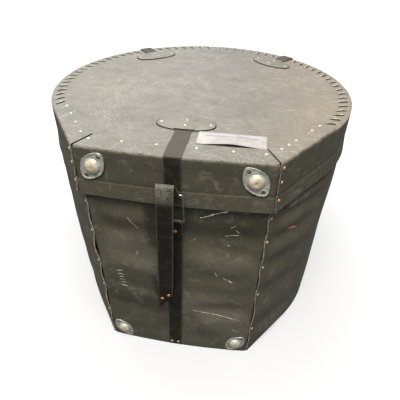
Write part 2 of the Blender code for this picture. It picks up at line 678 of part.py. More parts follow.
    # lower strap: up the wall, round the heel bar and back down, held by a rivet
    wrap = WIRE_R + 0.6 + WEB_T / 2
    ramp = (440.0, HEEL_Z - 12.0)
    path = [(low_lean, 1.4, 6.0, WEB_T), (low_lean * 0.14, 1.4, ramp[0], WEB_T),
            (0.0, heel[0] - wrap, ramp[1] + 6.0, WEB_T)]
    path += [(0.0, heel[0] + wrap * math.cos(math.radians(b)), heel[1] + wrap * math.sin(math.radians(b)), WEB_T)
             for b in (180, 145, 110, 75, 40, 5, -30)]
    back = lambda z: 1.4 + (heel[0] - wrap - 1.4) * (z - ramp[0]) / (ramp[1] + 6.0 - ramp[0])
    path += [(0.0, back(z) + WEB_T + 0.45, z, WEB_T) for z in (492.0, 478.0, 464.0)]
    node(f"{tag}_lower_strap", *ribbon(path, place), WEBBING)
    slope = (heel[0] - wrap - 1.4) / (ramp[1] + 6.0 - ramp[0])
    normal = (n - Vector((0, 0, slope))).normalized()
    at = place(1.0, back(484.0) + WEB_T + 0.45 + WEB_T / 2, 484.0) + normal * GAP
    drill((f"{tag}_lower_strap",), at, normal, 8.0)
    m = frame_at(at, normal)
    node(f"{tag}_fold_rivet",
         *lathe([(3.4, -5.9), (3.4, -4.95), (SHANK_R, -4.95), (SHANK_R, 0.0), (4.8, 0.0), (3.9, 1.3),
                 (1.5, 1.9)], 10, m), COPPER)
    pins = []
    for du in (-10.0, 10.0):
        at = place(low_lean + du, 2.4, 19.0)
        drill((f"{tag}_lower_strap", "body_bottom_panel", "body_front_panel" if front_set else "body_side_wall"),
              at, n, 12.0)
        pins.append(rivet(at + n * GAP, n, 12.1, head=4.4, high=1.8))
    m = frame_at(place(low_lean, 0.0, 19.0), n, across)
    rivet_set(f"{tag}_lower_rivets", box((-16.0, -5.0, -9.8), (16.0, 5.0, -8.8), m), pins, COPPER)


strap_set("front", -90.0, 0.0, -146.0, 2.0, -11.0, -18.0, -12.0, True)
strap_set("rear_right", 51.5, -3.5, -90.5, 0.0, 0.0, -12.0, -4.0, False)
strap_set("rear_left", 128.5, -3.5, -90.5, 0.0, 0.0, 12.0, 4.0, False)

for name in sorted(drills):
    obj = bpy.data.objects[name]
    at = obj.location.copy()
    obj.data.transform(Matrix.Translation(at))
    obj.location = (0.0, 0.0, 0.0)
    boolean(obj, *merge(drills[name]), "DIFFERENCE")
    obj.data.transform(Matrix.Translation(-at))
    obj.location = at
    shade(obj)
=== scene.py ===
"""The look of a worn vulcanised-fibre kettledrum case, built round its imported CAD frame.

Lengths are in millimetres and angles in degrees; build() turns the points into metres.
Front is -Y, up is +Z and z = 0 is the floor, as in the CAD model."""

from math import atan2, cos, degrees, dist, exp, hypot, pi, radians, sin, tan

import bmesh
import bpy
from mathutils import Matrix, Vector, noise


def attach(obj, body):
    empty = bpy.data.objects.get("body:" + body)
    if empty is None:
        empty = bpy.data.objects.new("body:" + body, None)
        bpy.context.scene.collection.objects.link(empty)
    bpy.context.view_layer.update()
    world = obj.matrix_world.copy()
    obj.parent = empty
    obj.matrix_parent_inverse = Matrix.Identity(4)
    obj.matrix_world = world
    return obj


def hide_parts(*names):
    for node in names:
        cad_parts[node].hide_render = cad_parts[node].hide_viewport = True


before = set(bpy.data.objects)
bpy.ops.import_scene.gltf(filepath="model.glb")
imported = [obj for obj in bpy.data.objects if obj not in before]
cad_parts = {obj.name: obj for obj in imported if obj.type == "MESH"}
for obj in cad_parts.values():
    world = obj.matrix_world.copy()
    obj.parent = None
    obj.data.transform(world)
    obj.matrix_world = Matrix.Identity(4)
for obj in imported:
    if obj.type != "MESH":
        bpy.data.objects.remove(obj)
scene = bpy.context.scene
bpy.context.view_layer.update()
MM = 0.001

# ---------- dimensions shared with the CAD model ----------

# A plan is the distance to the front, the radius of the round side and the angle of the side flats.
LID, BODY = (398, 404, 54.4), (397, 406.5, 53)
LID_R, BODY_R = LID[1], BODY[1]
BOW = 10
HEIGHT, BODY_TOP_Z, LID_EDGE_Z, CREASE_Z = 680, 668, 561, 597
SHEET, GAP = 3, 0.3
TOP_Z = HEIGHT - SHEET - GAP
FLANGE, LIP, DROP, RETURN, FLANGE_END = 48, 5, 6.6, 36, 18
STITCHES, STITCH_FROM, STITCH_TO = 55, -30, 210
BODY_RIVETS = {1: (530, 458, 372, 267, 112), -1: (524, 432, 323, 228, 112)}
LID_RIVETS = (666.5, 633, 588)
FRONT_FLANGE_X = (-188, -115, -40.5, 44.5, 120, 186)
SIDE_FLANGE_T = {1: (47, 73, 101, 167, 201), -1: (47, 100, 153, 201)}
SIDE_NAME = {1: "right", -1: "left"}
WEB, WEB_T, WIRE_R, ROLLER_R = 38, 2, 2.5, 4.2
FOLD_Z, BAR_Z, CUT_Z, HEEL_Z = 622, 598, 584, 518
TAIL_DOUBLE_Z, TAIL_RIVET_Z, TAIL_LOW_Z = 302, 256, 231
LOW_BEND_Z, LOW_RIVET_Z = 440, 19
FOLD_R, BUCKLE_BEND, LOW_STRAP_OUT = 6.3, 4.5, 1.4
FLANGE_RIVET_IN, FRONT_RIVET_Y = 27, -372


# ---------- small maths ----------

def span(start, stop, count):
    return [start + (stop - start) * i / (count - 1) for i in range(count)]


def circle(count):
    return [2 * pi * k / count for k in range(count)]


def smooth(low, high, x):
    t = min(1, max(0, (x - low) / (high - low)))
    return t * t * (3 - 2 * t)


def bell(x, centre, width):
    return exp(-((x - centre) / width) ** 2)


def wobble(x, y, z, size, seed=0):
    """Smooth noise of about -1 to 1 whose features are `size` across."""
    return 1.6 * noise.noise(Vector((x / size + seed, y / size - seed, z / size + 3.1 * seed)))


def between(marks, z, amounts=None):
    """0 at each mark and 1, or the stretch's own amount, half-way between two of them."""
    for amount, high, low in zip(amounts or [1] * len(marks), marks, marks[1:]):
        if low <= z <= high:
            return amount * sin(pi * (z - low) / (high - low)) ** 2
    return 0


def frame_at(point, normal, across=None):
    z = Vector(normal).normalized()
    x = Vector(across) if across else z.orthogonal()
    x = (x - z * x.dot(z)).normalized()
    m = Matrix((x, z.cross(x), z)).transposed().to_4x4()
    m.translation = Vector(point)
    return m


def oval(wide, high, power, angles, scale=1):
    """A rounded lozenge, or an oval as the power nears 2, given by its half sizes."""
    points = []
    for a in angles:
        c, s = cos(a), sin(a)
        r = (abs(c / wide) ** power + abs(s / high) ** power) ** (-1 / power)
        points.append((c * r * scale, s * r * scale))
    return points


# ---------- plan of the case, as in the CAD model ----------

def polar(radius, angle):
    a = radians(angle)
    return Vector((radius * cos(a), radius * sin(a)))


def flip(p):
    """The point's mirror image in the plane x = 0."""
    return Vector((-p.x, *p[1:]))


def grown(plan, off, side_only=0):
    return (plan[0] + off, plan[1] + off - side_only, plan[2])


def corner(front, side, theta):
    t = radians(theta)
    return Vector(((side - front * cos(t)) / sin(t), -front))


def foot(front, side, theta):
    """Length of a side flat, from its front corner to where the round part begins."""
    return -corner(front, side, theta).dot(polar(1, theta))


def side_point(plan, t):
    return corner(*plan) + polar(1, plan[2]) * t


def front_point(plan, u):
    return Vector((corner(*plan).x * u, -plan[0] - BOW * (1 - u * u)))


def rounded(plan, cut, k):
    """The front corner, rounded off from `cut` before it to `cut` after it as k goes from 0 to 1."""
    c = corner(*plan)
    a, b = front_point(plan, 1 - cut / c.x), side_point(plan, cut)
    return a * (1 - k) ** 2 + c * 2 * k * (1 - k) + b * k * k


# ---------- meshes ----------

def in_scene(name, data):
    thing = bpy.data.objects.new(name, data)
    scene.collection.objects.link(thing)
    return thing


def build(name, shape, mats, body, nodes, tags=None, sharp=40):
    """A piece from (points, faces, each face's material) in millimetres. tags is a point attribute."""
    verts, faces, picks = shape
    mesh = bpy.data.meshes.new(name)
    mesh.from_pydata([tuple(c * MM for c in v) for v in verts], [], faces)
    for mat in mats:
        mesh.materials.append(mat)
    mesh.polygons.foreach_set("material_index", picks)
    if tags:
        mesh.attributes.new("strip", "FLOAT_VECTOR", "POINT").data.foreach_set(
            "vector", [c for v in tags for c in v])
    bm = bmesh.new()
    bm.from_mesh(mesh)
    bmesh.ops.recalc_face_normals(bm, faces=bm.faces)
    bm.to_mesh(mesh)
    bm.free()
    mesh.shade_smooth()
    mesh.set_sharp_from_angle(angle=radians(sharp))
    piece = in_scene(name, mesh)
    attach(piece, body)
    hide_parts(*nodes)


def sheet_shell(outer, inner, face_look=lambda i, k: 0, edge_look=1, end_look=None):
    """A sheet between two equal grids of points, with its cut edges closed."""
    m, n = len(outer), len(outer[0])
    verts = [p for column in outer + inner for p in column]
    at = lambda i, k, back: (m * n if back else 0) + i * n + k
    faces, picks = [], []
    for i in range(m - 1):
        for k in range(n - 1):
            for back in (False, True):
                faces.append((at(i, k, back), at(i + 1, k, back), at(i + 1, k + 1, back), at(i, k + 1, back)))
                picks.append(face_look(i, k))
        for k in (0, n - 1):
            faces.append((at(i, k, False), at(i + 1, k, False), at(i + 1, k, True), at(i, k, True)))
            picks.append(edge_look)
    for k in range(n - 1):
        for i in (0, m - 1):
            faces.append((at(i, k, False), at(i, k + 1, False), at(i, k + 1, True), at(i, k, True)))
            picks.append(end_look(k) if end_look else edge_look)
    return verts, faces, picks


def tube(loops, closed=False, look=0):
    """Rings of points joined into a skin, with its two ends capped or joined to each other."""
    n, m = len(loops[0]), len(loops)
    verts = [p for loop in loops for p in loop]
    faces = [(i * n + j, i * n + (j + 1) % n, ((i + 1) % m) * n + (j + 1) % n, ((i + 1) % m) * n + j)
             for i in range(m if closed else m - 1) for j in range(n)]
    if not closed:
        faces += [tuple(range(n)), tuple((m - 1) * n + j for j in reversed(range(n)))]
    return verts, faces, [look] * len(faces)


def join(parts):
    verts, faces, picks = [], [], []
    for points, sides, looks in parts:
        faces += [tuple(i + len(verts) for i in side) for side in sides]
        verts += points
        picks += looks
    return verts, faces, picks


def turned(profile, sides, matrix, closed=False, look=0):
    """A turned shape about local Z. The profile is (radius, height)."""
    return tube([[matrix @ Vector((r * cos(a), r * sin(a), h)) for a in circle(sides)]
                 for r, h in profile], closed, look)


def box(low, high, matrix=Matrix.Identity(4)):
    return tube([[matrix @ Vector((x, y, z)) for x, y in
                  ((low[0], low[1]), (high[0], low[1]), (high[0], high[1]), (low[0], high[1]))]
                 for z in (low[2], high[2])])


def head(point, normal, radius, high, depth=5):
    """A domed rivet head with its shank."""
    dome = [(1.5, -depth), (1.5, 0), (radius * 0.97, 0), (radius, 0.25)]
    dome += [(radius * cos(radians(a)), 0.25 + (high - 0.25) * sin(radians(a)))
             for a in (22, 45, 65, 82)]
    return turned(dome, 20, frame_at(point, normal))


# ---------- node materials ----------

class Look:
    """A Principled material and short ways to add nodes to it."""

    def __init__(self, name, metallic=0, rough=0.6, specular=0.5):
        self.mat = bpy.data.materials.new(name)
        self.mat.use_nodes = True
        self.tree = self.mat.node_tree
        self.shader = self.tree.nodes["Principled BSDF"]
        self.set("Metallic", metallic)
        self.set("Roughness", rough)
        self.set("Specular IOR Level", specular)
        self.coords = self.add("TexCoord").outputs["Object"]
        self.tone = self.relief = None

    def put(self, socket, value):
        if isinstance(value, bpy.types.NodeSocket):
            self.tree.links.new(value, socket)
        elif isinstance(value, (int, float)) or socket.type == "VECTOR":
            socket.default_value = value
        else:
            socket.default_value = (*value, 1)

    def add(self, kind, values=(), **settings):
        node = self.tree.nodes.new("ShaderNode" + kind)
        for key, value in settings.items():
            setattr(node, key, value)
        for key, value in dict(values).items():
            self.put(node.inputs[key], value)
        return node

    def set(self, name, value):
        self.put(self.shader.inputs[name], value)

    def stretch(self, scale, turn=(0, 0, 0), kind="POINT"):
        return self.add("Mapping", {"Vector": self.coords, "Scale": scale,
                                    "Rotation": [radians(a) for a in turn]}, vector_type=kind).outputs[0]

    def split(self, vector):
        return self.add("SeparateXYZ", {0: vector}).outputs

    def noise(self, size, detail=4, rough=0.55, source=None, distortion=0):
        """Noise of 0 to 1 whose features are about `size` millimetres across."""
        return self.add("TexNoise", {"Vector": source or self.coords, "Scale": 1000 / size, "Detail": detail,
                                     "Roughness": rough, "Distortion": distortion}).outputs["Fac"]

    def math(self, operation, a, b=0, clamp=False):
        return self.add("Math", {0: a, 1: b}, operation=operation, use_clamp=clamp).outputs[0]

    def both(self, a, b, clamp=False):
        return self.math("MULTIPLY", a, b, clamp)

    def total(self, masks):
        first, *rest = masks
        for mask in rest:
            first = self.math("ADD", first, mask, clamp=True)
        return first

    def ramp(self, value, low, high, start=0, stop=1):
        values = {"Value": value, "From Min": low, "From Max": high, "To Min": start, "To Max": stop}
        return self.add("MapRange", values, interpolation_type="SMOOTHSTEP").outputs[0]

    def cloud(self, size, detail, rough, low, high, start=0, stop=1, distortion=0):
        """Patches of noise, taken from `low` to `high` of its range."""
        return self.ramp(self.noise(size, detail, rough, distortion=distortion), low, high, start, stop)

    def coat(self, share, colour):
        """Lays a colour over the tone so far, as far as the share says."""
        self.tone = self.add("Mix", {0: share, 6: self.tone, 7: colour}, data_type="RGBA").outputs[2]

    def emboss(self, height, strength, millimetres):
        values = {"Height": height, "Strength": strength, "Distance": millimetres * MM}
        if self.relief:
            values["Normal"] = self.relief
        self.relief = self.add("Bump", values).outputs[0]

    def done(self):
        self.set("Base Color", self.tone)
        if self.relief:
            self.set("Normal", self.relief)
        return self.mat

    def vector(self, operation, **values):
        """A Vector Math node; a and b are its two vectors."""
        inputs = {{"a": 0, "b": 1}.get(key, key): value for key, value in values.items()}
        return self.add("VectorMath", inputs, operation=operation).outputs

    def kept_in_patches(self, source, size, low, high, patch, seed):
        """Marks from stretched noise, kept where a broad patch of noise allows them."""
        broad = self.noise(patch, 2, 0.5, self.stretch((1, 1, 1), (seed * 31, seed * 17, seed)))
        return self.both(self.ramp(self.noise(size, 3, 0.6, source), low, high), self.ramp(broad, 0.46, 0.62))

    def flecks(self, size, ratio, turn, low, high, patch, seed):
        return self.kept_in_patches(self.stretch((1, ratio, ratio), turn), size, low, high, patch, seed)

    def hairs(self, length, ratio, turn):
        """Long thin scratches, all turned one way about Z."""
        along = self.stretch((1, ratio, ratio), (0, 0, turn), "TEXTURE")
        return self.kept_in_patches(along, length, 0.6, 0.67, 130, turn / 9)

    def stroke(self, start, end, width, ragged=2.2):
        """One ragged band on the front of the case, between two (x, z) points; it draws scratches, marks and
        the patches of painted light and shade.
        """
        in_plan = Vector((1, 0, 1))
        a = Vector((start[0], 0, start[1])) * MM
        run = Vector((end[0], 0, end[1])) * MM - a
        waver = self.add("TexNoise", {"Vector": self.coords, "Scale": 90}).outputs["Color"]
        shaken = self.vector("MULTIPLY", a=waver, b=in_plan * ragged * MM)[0]
        flat = self.vector("MULTIPLY", a=self.coords, b=in_plan)[0]
        flat = self.vector("SUBTRACT", a=flat, b=shaken)[0]
        rel = self.vector("SUBTRACT", a=flat, b=a - in_plan * 0.5 * ragged * MM)[0]
        share = self.vector("DOT_PRODUCT", a=rel, b=run / run.length_squared)["Value"]
        share = self.math("ADD", share, 0, clamp=True)
        nearest = self.vector("SCALE", a=run, Scale=share)[0]
        gap = self.vector("DISTANCE", a=rel, b=nearest)["Value"]
        return self.ramp(gap, width * MM, width * 0.35 * MM)


def scaled(colour, *factors):
    """The colour times one factor, or one for each channel."""
    return tuple(c * f for c, f in zip(colour, factors * (3 // len(factors))))


def fibre(name, dark, light, rough, specular, dust, strokes=(), tints=(), worn_above=None, warm=None,
          scuff=0.55, under_lid=False):
    """Worn painted fibre board: mottled, dusty, scuffed in all directions, with a fine pressed grain, and,
    when asked, a painted shadow band under the lid.
    """
    look = Look(name, specular=specular)
    grain = look.noise(3.2, 4, 0.65)
    cloth = look.noise(5, 2, 0.6, look.stretch((1, 1, 7)))
    middle = tuple((a + b) / 2 for a, b in zip(dark, light))
    deep = tuple((a * 2 + b) / 3 for a, b in zip(middle, dark))
    look.tone = deep
    look.coat(look.cloud(230, 3, 0.5, 0.36, 0.64), middle)
    look.coat(look.cloud(60, 5, 0.6, 0.42, 0.8, 0, 0.45, 0.6), light)
    look.coat(look.ramp(grain, 0.3, 0.75, 0, 0.3), scaled(dark, 0.45))
    brown = look.noise(110, 3, 0.6, look.stretch((1, 1.3, 0.8), (20, 50, 9)))
    look.coat(look.ramp(brown, 0.52, 0.78, 0, 0.22), scaled(light, 1.35, 1.12, 0.9))
    x, y, z = look.split(look.coords)
    if warm:
        look.coat(look.both(look.ramp(x, *warm), 0.85), scaled(light, 1.12, 0.93, 0.8))
    if worn_above:
        rubbed = look.both(look.ramp(z, *worn_above), look.cloud(16, 6, 0.75, 0.34, 0.62))
        look.coat(look.both(rubbed, 0.8), (0.17, 0.16, 0.13))
    look.coat(look.ramp(cloth, 0.4, 0.7, 0, 0.42), scaled(light, 1.3))
    if under_lid:
        # Painted shadow: a dark band on the body just below the lid's lower edge, where the lid shades it.
        grime = look.both(look.ramp(z, 0.533, 0.55), look.ramp(z, 0.556, 0.58, 0.8, 0.3))
        look.coat(grime, scaled(dark, 0.25))
    # Tints are real marks and patches of painted light and shade, laid on the front only.
    for colour, *spot in tints:
        look.coat(look.both(look.stroke(*spot), look.ramp(y, 0, -0.05, 0, 0.7)), colour)
    powder = look.both(look.cloud(34, 7, 0.72, 0.5, 0.78, distortion=1.2), dust)
    look.coat(powder, (0.3, 0.28, 0.24))
    marks = look.total([
        look.flecks(5, 16, (0, 12, 8), 0.66, 0.76, 120, 1),
        look.flecks(4, 20, (12, -52, 65), 0.68, 0.78, 90, 2),
        look.flecks(6, 12, (75, 20, 110), 0.68, 0.8, 140, 3),
        look.both(look.cloud(7, 2, 0.5, 0.69, 0.75), look.cloud(70, 2, 0.5, 0.46, 0.58))])
    if scuff > 0.6:
        hair = look.total([look.hairs(75, 0.02, turn) for turn in (15, 70, 118, 160)])
        marks = look.math("ADD", marks, look.both(hair, 0.55), clamp=True)
        centre = look.both(look.ramp(x, -0.24, 0.02), look.ramp(x, 0.3, 0.12))
        look.coat(look.both(centre, 0.36), dark)
        look.coat(look.cloud(150, 4, 0.6, 0.42, 0.62, 0.24, 0, 1), dark)
    look.coat(look.both(marks, scuff), tuple(c * 3.2 + 0.03 for c in light))
    if strokes:
        chalk = look.both(look.total([look.stroke(*s) for s in strokes]), look.cloud(3.4, 4, 0.7, 0.4, 0.52))
        look.coat(look.both(chalk, 0.85), (0.62, 0.6, 0.54))
    gloss = look.cloud(45, 5, 0.6, 0.3, 0.75, rough - 0.08, rough + 0.1)
    look.set("Roughness", look.math("ADD", gloss, look.both(marks, 0.12)))
    look.emboss(grain, 0.35, 0.35)
    look.emboss(cloth, 0.22, 0.3)
    look.emboss(marks, 0.5, -0.25)
    look.emboss(look.noise(38, 3, 0.5), 0.45, 1.6)
    return look.done()


def webbing(name, rough=0.66, fuzz=0.5, fold_end=None):
    """Woven strap: ribs and slanted cords, worn pale on the high threads, the selvedges and the fold, with
    painted highlight on the tail's fold and edges and dust with painted sheen on upward faces.
    """
    look = Look(name, rough=rough, specular=0.14)
    strip = look.add("Attribute", attribute_name="strip").outputs["Vector"]
    across, run, edge = look.split(strip)
    wave = lambda value, pitch: look.math("SINE", look.both(value, 2 * pi / pitch))
    rows = look.ramp(wave(run, 3.3), -1, 1)
    cords = look.ramp(wave(look.math("ADD", across, look.both(run, 0.5)), 3.5), -1, 1)
    weave = look.both(look.math("ADD", rows, cords), 0.5)
    wear = look.cloud(26, 5, 0.7, 0.42, 0.72)
    # At the tail's fold the pale threads are wear and also a painted highlight on the top of the fold.
    if fold_end:
        wear = look.math("MAXIMUM", wear, look.ramp(run, *fold_end))
    thread = look.both(look.both(look.ramp(weave, 0.5, 0.95), wear), fuzz, clamp=True)
    look.tone = (0.007, 0.0059, 0.0036)
    look.coat(thread, (0.09, 0.084, 0.068))
    look.coat(look.cloud(60, 3, 0.6, 0.5, 0.75, 0, 0.35), (0.026, 0.02, 0.011))
    if fold_end:
        pale = look.both(look.ramp(run, *fold_end), look.ramp(weave, 0.25, 0.85, 0.08, 1))
        pale = look.both(pale, look.cloud(13, 4, 0.7, 0.32, 0.6, 0.25, 1))
        look.coat(pale, (0.21, 0.198, 0.165))
    selvedge = look.both(look.ramp(edge, 0.8, 0.86), look.ramp(edge, 0.94, 0.88))
    selvedge = look.both(selvedge, look.ramp(wave(run, 4.6), 0.1, 0.8))
    look.coat(look.both(selvedge, 0.45), (0.085, 0.078, 0.062))
    # Pale selvedges: wear, made stronger on the tail as a painted highlight on its edges.
    edge_wear_and_highlight = 0.85 if fold_end else 0.45
    look.coat(look.both(look.ramp(edge, 0.94, 0.99), edge_wear_and_highlight), (0.13, 0.12, 0.095))
    # Lighter on upward faces: dust, and painted sheen from the overhead light.
    facing = look.split(look.add("NewGeometry").outputs["Normal"])[2]
    dust = look.both(look.ramp(facing, 0.35, 0.9, 0, 0.75), look.ramp(weave, 0.15, 0.8, 0.25, 1))
    look.coat(dust, (0.09, 0.08, 0.064))
    look.set("Roughness", look.ramp(weave, 0, 1, rough + 0.12, rough - 0.1))
    look.emboss(weave, 0.8, 0.6)
    look.emboss(look.noise(0.9, 2, 0.5), 0.35, 0.2)
    return look.done()


def metal(name, bright, dull, grime, rough, metallic=0.9, spot=0.5, scale=9):
    """Old plated or bare metal with clouds of oxide and dirt."""
    look = Look(name, metallic=metallic)
    cloud = look.noise(scale, 5, 0.65, distortion=0.5)
    look.tone = bright
    look.coat(look.ramp(cloud, 0.35, 0.68), dull)
    look.coat(look.both(look.cloud(scale * 0.45, 5, 0.7, 0.52, 0.72), spot), grime)
    look.set("Roughness", look.ramp(cloud, 0.3, 0.75, rough - 0.1, rough + 0.18))
    look.emboss(look.noise(1.6, 3, 0.6), 0.25, 0.15)
    look.emboss(look.noise(12, 2, 0.5), 0.25, 0.5)
    return look.done()


def plain(name, base, coats, relief=None, **settings):
    """A base colour under patches, each given as for cloud(), with a noise relief."""
    look = Look(name, **settings)
    look.tone = base
    for patch, colour in coats:
        look.coat(look.cloud(*patch), colour)
    if relief:
        look.emboss(look.noise(*relief[:3]), *relief[3:])
    return look.done()


def plywood_look():
    look = Look("plywood_face", rough=0.7, specular=0.3)
    bands = look.noise(30, 6, 0.6, look.stretch((1, 14, 1)), 0.8)
    look.tone = (0.52, 0.36, 0.2)
    look.coat(look.ramp(bands, 0.35, 0.65), (0.36, 0.22, 0.11))
    look.coat(look.cloud(80, 4, 0.55, 0.45, 0.75, 0, 0.4), (0.22, 0.15, 0.09))
    look.emboss(bands, 0.3, 0.4)
    return look.done()


def plate_look():
    """Anodised nameplate: left blank but for one plain blue rule near its upper edge."""
    look = Look("nameplate_face", metallic=0.15, rough=0.38, specular=0.6)
    x, y, z = look.split(look.coords)
    rule = look.cloud(6, 4, 0.7, 0.38, 0.5)
    for value, outside, inside in ((y, -0.3103, -0.3098), (y, -0.3072, -0.3077), (x, 0.054, 0.056),
                                   (x, 0.171, 0.169)):
        rule = look.both(rule, look.ramp(value, outside, inside))
    look.tone = (0.25, 0.237, 0.222)
    look.coat(look.cloud(30, 5, 0.6, 0.35, 0.7), (0.185, 0.174, 0.157))
    look.coat(rule, (0.035, 0.06, 0.17))
    look.coat(look.cloud(11, 5, 0.7, 0.6, 0.74, 0, 0.5), (0.15, 0.115, 0.06))
    look.emboss(look.noise(14, 3), 0.25, 0.5)
    return look.done()


# Patches of painted light and shade on the front panel, and the light scratches and worn paint marks on it.
# The light patches are painted light where the dents face up; the dark ones are painted shade below the lid,
# beside the strap's tail and low on the left. Each is a colour, two (x, z) ends, a width and a raggedness; a
# scratch has no colour.
PAINTED_LIGHT, SHADED, PAINTED_TAIL_SHADOW = (0.074, 0.068, 0.05), (0.026, 0.023, 0.0145), (0.012, 0.0105, 0.007)
LIGHT_AND_SHADE_PATCHES = [((0.078, 0.071, 0.052), (60, 190), (165, 130), 95, 30), (PAINTED_LIGHT, (-150, 400), (-60, 350), 62, 25),
           (PAINTED_LIGHT, (70, 395), (170, 375), 55, 25), ((0.024, 0.0215, 0.0135), (50, 500), (180, 505), 60, 25),
           (SHADED, (-180, 200), (-60, 180), 50, 25), (PAINTED_TAIL_SHADOW, (-52, 520), (-50, 430), 30, 10),
           (PAINTED_TAIL_SHADOW, (-50, 300), (-46, 235), 26, 10)]
SCRATCHES = [((59, 522), (88, 533), 1.2), ((84, 533), (120, 546), 1.7), ((114, 540), (122, 549), 1.4),
             ((142, 548), (152, 553), 1.6), ((134, 475), (152, 474), 1.3), ((141, 492), (153, 480), 1.1),
             ((118, 470), (134, 474), 0.7), ((130, 500), (140, 508), 0.7), ((100, 342), (103, 331), 1.6),
             ((133, 318), (144, 309), 1.6), ((121, 322), (128, 317), 1), ((-113, 500), (-92, 462), 0.7),
             ((-102, 383), (-101, 372), 0.9), ((126, 442), (129, 439), 1.4), ((44, 180), (112, 170), 0.8),
             ((112, 170), (178, 152), 0.9), ((159, 112), (171, 100), 0.7), ((-162, 305), (-150, 307), 1.6),
             ((-160, 292), (-146, 291), 1.4), ((-158, 279), (-149, 281), 1.7), ((-160, 268), (-146, 266), 1.4),
             ((-156, 254), (-144, 255), 1.7), ((-157, 243), (-143, 240), 1.4)]
RED_MARK = ((0.7, 0.17, 0.15), (266, 457), (286, 437), 3)

OLIVE = ((0.03, 0.027, 0.0165), (0.067, 0.0618, 0.0445))
# The raw edge of the board, where the paint has rubbed off.
EDGE = plain("fibre_cut_edge", (0.27, 0.245, 0.19), [((7, 4, 0.7, 0.35, 0.65), (0.075, 0.067, 0.05))],
             (1.5, 3, 0.6, 0.5, 0.3), rough=0.75, specular=0.3)
BODY_LOOK = fibre("fibre_body", *OLIVE, 0.52, 0.16, 0.2, tints=[RED_MARK], under_lid=True)
FRONT_LOOK = fibre("fibre_front_panel", *OLIVE, 0.5, 0.2, 0.24, SCRATCHES, LIGHT_AND_SHADE_PATCHES, under_lid=True)
LID_LOOK = fibre("fibre_lid_skirt", (0.026, 0.0234, 0.0143), (0.058, 0.0535, 0.0385), 0.5, 0.17, 0.26,
                 worn_above=(0.671, 0.681), scuff=0.42)
# The lid top and the anchor plates are about twice as light as the skirt: partly dust and wear, partly painted
# sheen from the overhead light.
TOP_LOOK = fibre("fibre_lid_top", (0.062, 0.0585, 0.048), (0.116, 0.108, 0.088), 0.45, 0.45, 0.32,
                 warm=(0.04, 0.34), scuff=0.8)
PLATE_FIBRE = fibre("fibre_anchor_plate", (0.07, 0.067, 0.054), (0.105, 0.098, 0.078), 0.45, 0.45, 0.12)
WEB_LOOK = webbing("woven_webbing")
TAIL_LOOK = webbing("woven_webbing_tail", fold_end=(66, 24))
ZINC = metal("dull_zinc", (0.42, 0.42, 0.37), (0.2, 0.21, 0.185), (0.05, 0.042, 0.03), 0.42, 0.55, 0.45)
CREAM = metal("worn_zinc_dome", (0.44, 0.39, 0.29), (0.27, 0.225, 0.15), (0.22, 0.12, 0.06),
              0.44, 0.25, 0.55, 14)
HOLE = metal("rusted_rivet", (0.11, 0.065, 0.035), (0.045, 0.03, 0.02), (0.015, 0.012, 0.01),
             0.6, 0.4, 0.5, 4)
FLANGE_RIVET = metal("flange_rivet", (0.4, 0.37, 0.29), (0.25, 0.225, 0.17), (0.1, 0.085, 0.055),
                     0.36, 0.5, 0.35, 5)
COPPER = metal("copper_rivet", (0.62, 0.27, 0.11), (0.36, 0.17, 0.09), (0.1, 0.06, 0.035),
               0.34, 0.75, 0.35, 5)
TAN = metal("dull_copper_rivet", (0.44, 0.33, 0.22), (0.28, 0.21, 0.145), (0.09, 0.07, 0.05),
            0.42, 0.5, 0.35, 5)
WIRE = metal("dark_wire", (0.34, 0.33, 0.3), (0.05, 0.048, 0.043), (0.015, 0.014, 0.012),
             0.28, 0.9, 0.45, 8)
LACE = plain("lace_cord", (0.12, 0.11, 0.085), [((9, 4, 0.7, 0.4, 0.62), (0.27, 0.25, 0.2)),
                                                ((140, 2, 0.5, 0.55, 0.72, 0, 0.6), (0.045, 0.04, 0.032))],
             (1.6, 2, 0.6, 0.5, 0.3), rough=0.6, specular=0.3)
# Painted shadow: near-black with a little dust in it, laid where only shade is seen, beside the lace, under
# the nameplate, round the anchor plates' rims and on the side flange's cut ends.
PAINTED_SHADOW = plain("painted_shadow", (0.008, 0.0075, 0.006), [((8, 3, 0.6, 0.45, 0.7), (0.03, 0.027, 0.02))],
             rough=0.8, specular=0.1)
PLATE, PLY = plate_look(), plywood_look()


# ---------- body ----------

MM_PER_DEGREE = 7.1  # round the back of the body


def wall_lift(sx, t, z):
    """How far the side wall stands off between its seam rivets, and its broad folds, at t past the corner."""
    marks = (575,) + BODY_RIVETS[sx] + (18,)
    amounts = {1: (1.2, 2, 2.6, 3.2, 5, 2.5), -1: (1.5, 2.5, 5.5, 3.5, 3.5, 2)}[sx]
    fold = between(marks, z + 0.16 * t) * (9.5 if sx > 0 else 5) * smooth(300, 60, t) * smooth(6, 60, t)
    return between(marks, z, amounts) * exp(-max(0, t - 2) / 34) + fold


def wall_move(sx, t, bearing, z, at):
    """The wall's lift and its uneven bulges, held still under the lid and at the floor."""
    move = wall_lift(sx, t, z)
    move += 2.6 * wobble(at.x, at.y, z * 1.5, 190, 2) * smooth(20, 120, t)
    if sx < 0:
        move += 9 * bell(bearing, 196, 34) * smooth(20, 190, z) * smooth(4, 60, t)
    else:
        move += 3 * bell(bearing, -20, 30) * smooth(30, 200, z) * smooth(4, 60, t)
    return move * smooth(572, 540, z) * smooth(2, 40, z)


